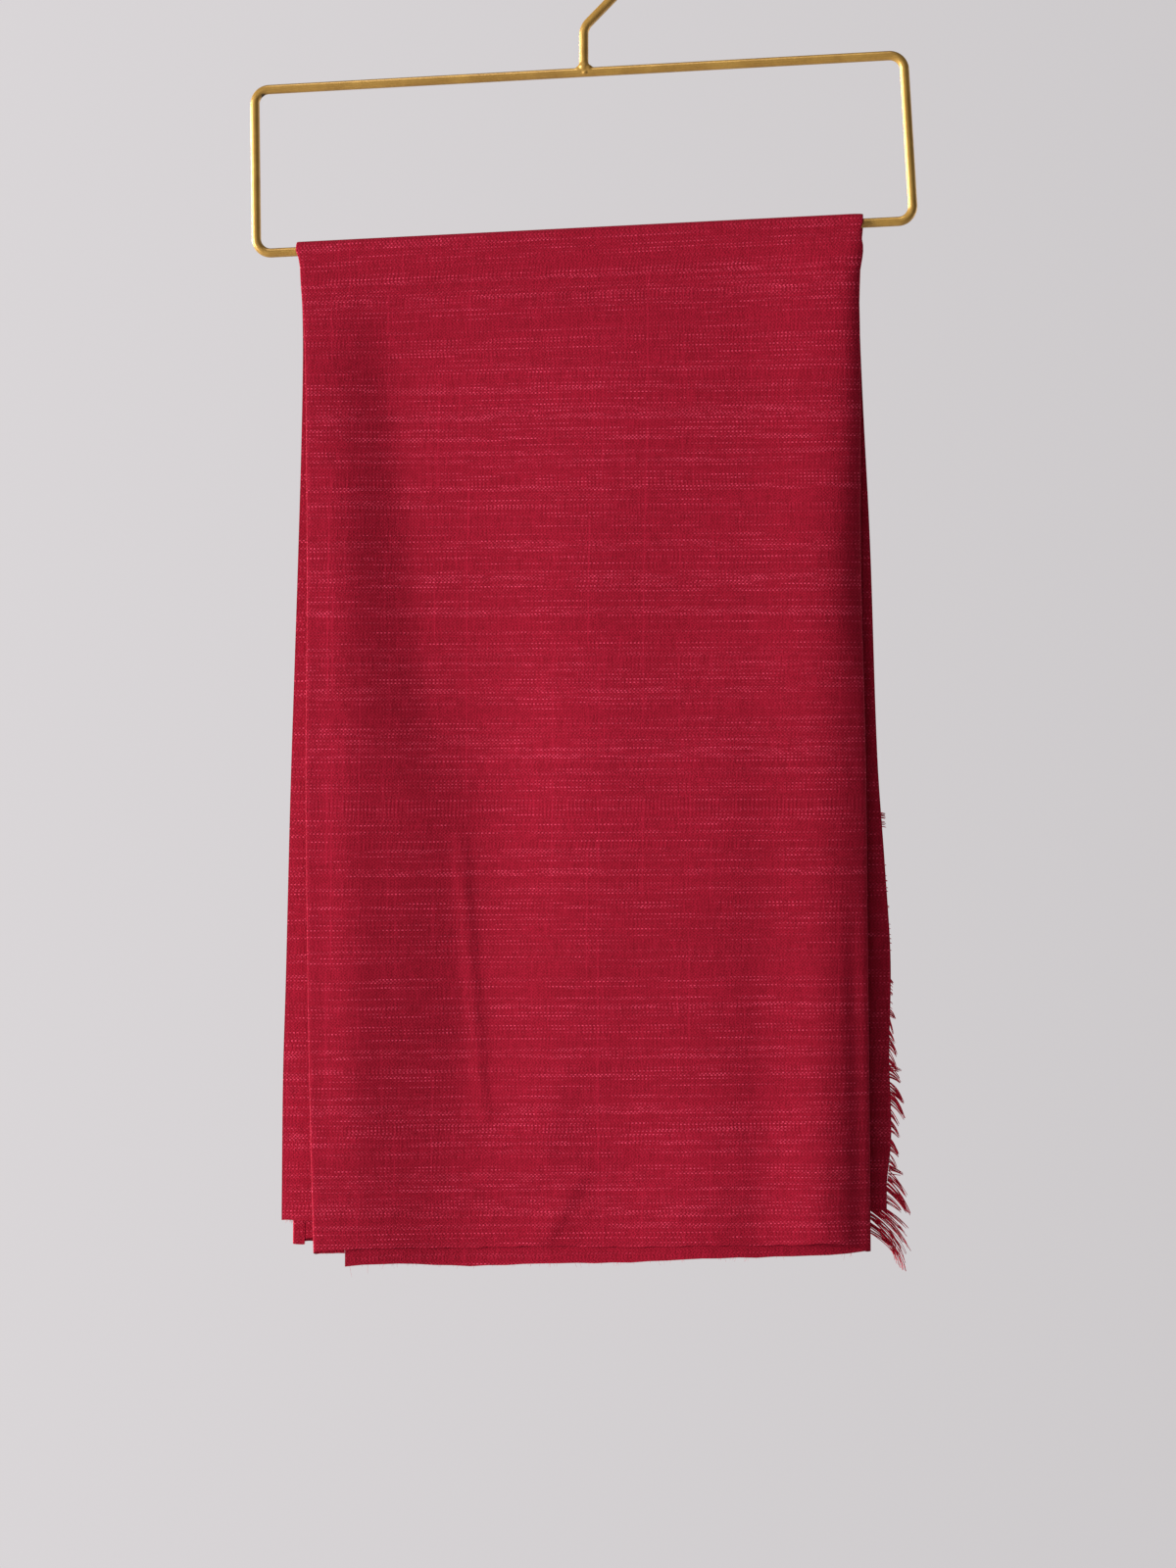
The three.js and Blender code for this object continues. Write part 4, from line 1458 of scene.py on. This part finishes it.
@dataclass(frozen=True)
class SoftLight:
    """A square studio softbox that looks at the cloth's middle, in metres."""

    name: str
    place: tuple[float, float, float]
    side: float
    watts: float
    colour: tuple[float, float, float]

    def build(self, target: Vector) -> None:
        """Adds the light."""
        data = bpy.data.lights.new(self.name, "AREA")
        data.shape = "SQUARE"
        data.size = self.side
        data.energy = self.watts
        data.color = self.colour
        obj = placed(self.name, data)
        obj.location = self.place
        obj.rotation_euler = (target - obj.location).to_track_quat("-Z", "Y").to_euler()


@dataclass(frozen=True)
class Studio:
    """Camera, soft lights, pale surround and pale floor, in metres."""

    azimuth: float = 5.63
    distance: float = 1.64
    target: tuple[float, float, float] = (0.0019, 0.0, -0.38707)
    lens: float = 85.0
    sensor: float = 36.0
    floor_z: float = -1.2
    floor_half: float = 2.0
    surround: Colour = (0.628, 0.606, 0.616, 1)
    # painted light and shade: the surround the camera sees is lighter at the left and darker at the right,
    # as if lit by the key from the left
    painted_lit_surround_left: Colour = (0.700, 0.672, 0.686, 1)
    painted_shade_surround_right: Colour = (0.560, 0.541, 0.551, 1)
    painted_light_fall_reach: float = 0.26
    ambient: float = 0.14
    lights: tuple[SoftLight, ...] = (
        SoftLight("key", (-4.3, -1.75, -0.30), 1.3, 335, (1.0, 0.985, 0.965)),
        SoftLight("front_fill", (-0.5, -2.6, 0.2), 1.4, 5, (1.0, 0.99, 0.98)),
        SoftLight("overhead", (-0.3, -0.45, 1.5), 0.35, 9, (1.0, 1.0, 1.0)),
        SoftLight("rear", (-3.7, 2.0, 0.1), 1.3, 210, (1.0, 0.99, 0.98)),
        SoftLight("bounce", (1.9, 1.5, -0.5), 1.6, 26, (1.0, 0.99, 0.98)),
    )

    def build(self) -> None:
        """Sets up the studio round the part."""
        self._camera()
        self._surround()
        for light in self.lights:
            light.build(Vector(self.target))
        bm = bmesh.new()
        bmesh.ops.create_grid(bm, x_segments=4, y_segments=4, size=self.floor_half)
        bmesh.ops.translate(bm, verts=bm.verts, vec=(0, 0, self.floor_z))
        made("floor", bm, PaleFinish().build())
        bpy.context.scene.view_settings.view_transform = "Standard"

    def _camera(self) -> None:
        """Level camera, a little to the right of the cloth's front."""
        data = bpy.data.cameras.new("camera")
        data.lens = self.lens
        data.sensor_width = self.sensor
        camera = placed("camera", data)
        turn = math.radians(self.azimuth)
        back = Vector((math.sin(turn), -math.cos(turn), 0)) * self.distance
        camera.location = Vector(self.target) + back
        camera.rotation_euler = (math.pi / 2, 0, turn)
        bpy.context.scene.camera = camera

    def _surround(self) -> None:
        """Pale surround that lights the part less than it shows. What it shows has painted light and shade:
        lighter at the left and darker at the right, as if the key lit it from the left.
        """
        world = bpy.data.worlds.new("surround")
        bpy.context.scene.world = world
        world.use_nodes = True
        g = Graph(world.node_tree)
        towards = g.node("ShaderNodeTexCoord").outputs["Generated"]
        across = g.node("ShaderNodeSeparateXYZ", None, {0: towards}).outputs[0]
        # painted light and shade across the surround, from the lit left to the shaded right
        sockets = {"Value": across, "From Min": -self.painted_light_fall_reach, "From Max": self.painted_light_fall_reach}
        fall = g.value("ShaderNodeMapRange", {}, sockets)
        shown = g.tree.nodes["Background"]
        g.feed(shown.inputs["Color"], g.blend(fall, self.painted_lit_surround_left, self.painted_shade_surround_right))
        sockets = {"Color": self.surround, "Strength": self.ambient / self.surround[0]}
        lighting = g.node("ShaderNodeBackground", None, sockets)
        seen = g.node("ShaderNodeLightPath").outputs["Is Camera Ray"]
        sockets = {0: seen, 1: lighting.outputs[0], 2: shown.outputs[0]}
        both = g.node("ShaderNodeMixShader", None, sockets)
        g.feed(g.tree.nodes["World Output"].inputs[0], both.outputs[0])


class Shawl:
    """The folded shawl: its two stretches of cloth, its frayed end and its loose hairs."""

    outer_flat = (0.497, 0.908)
    inner_flat = (0.262, 0.885)

    def build(self) -> None:
        """Builds the cloth, its frayed fringe and its hem hairs."""
        weave, thread = SlubWeave().build(), ThreadFinish().build()
        outer = OuterFold().build(Rows(FRONT.hem.at(0)).build(), weave)
        inner = InnerPlies().build(Rows(FRONT.inner_hem.at(0)).build(), weave)
        fringe = ThreadBundle("frayed_fringe_threads", FrayedFringe().threads()).build(thread)
        ride(fringe, Slot.CLOTH, "frayed_fringe")
        hairs = ThreadBundle("hem_hairs", LooseThreads().threads()).build(thread)
        ride(hairs, Slot.CLOTH)


def build_hanger() -> None:
    """Builds the wires and their weld."""
    gold = GoldPaint().build()
    for part in (HangerFrame(), HangerHook(), WeldBead()):
        part.build(gold)


def main() -> None:
    """Builds the hanger, the shawl and the studio."""
    logging.basicConfig(level=logging.INFO, format="%(name)s: %(message)s")
    build_hanger()
    Shawl().build()
    Studio().build()


if __name__ == "__main__":
    main()
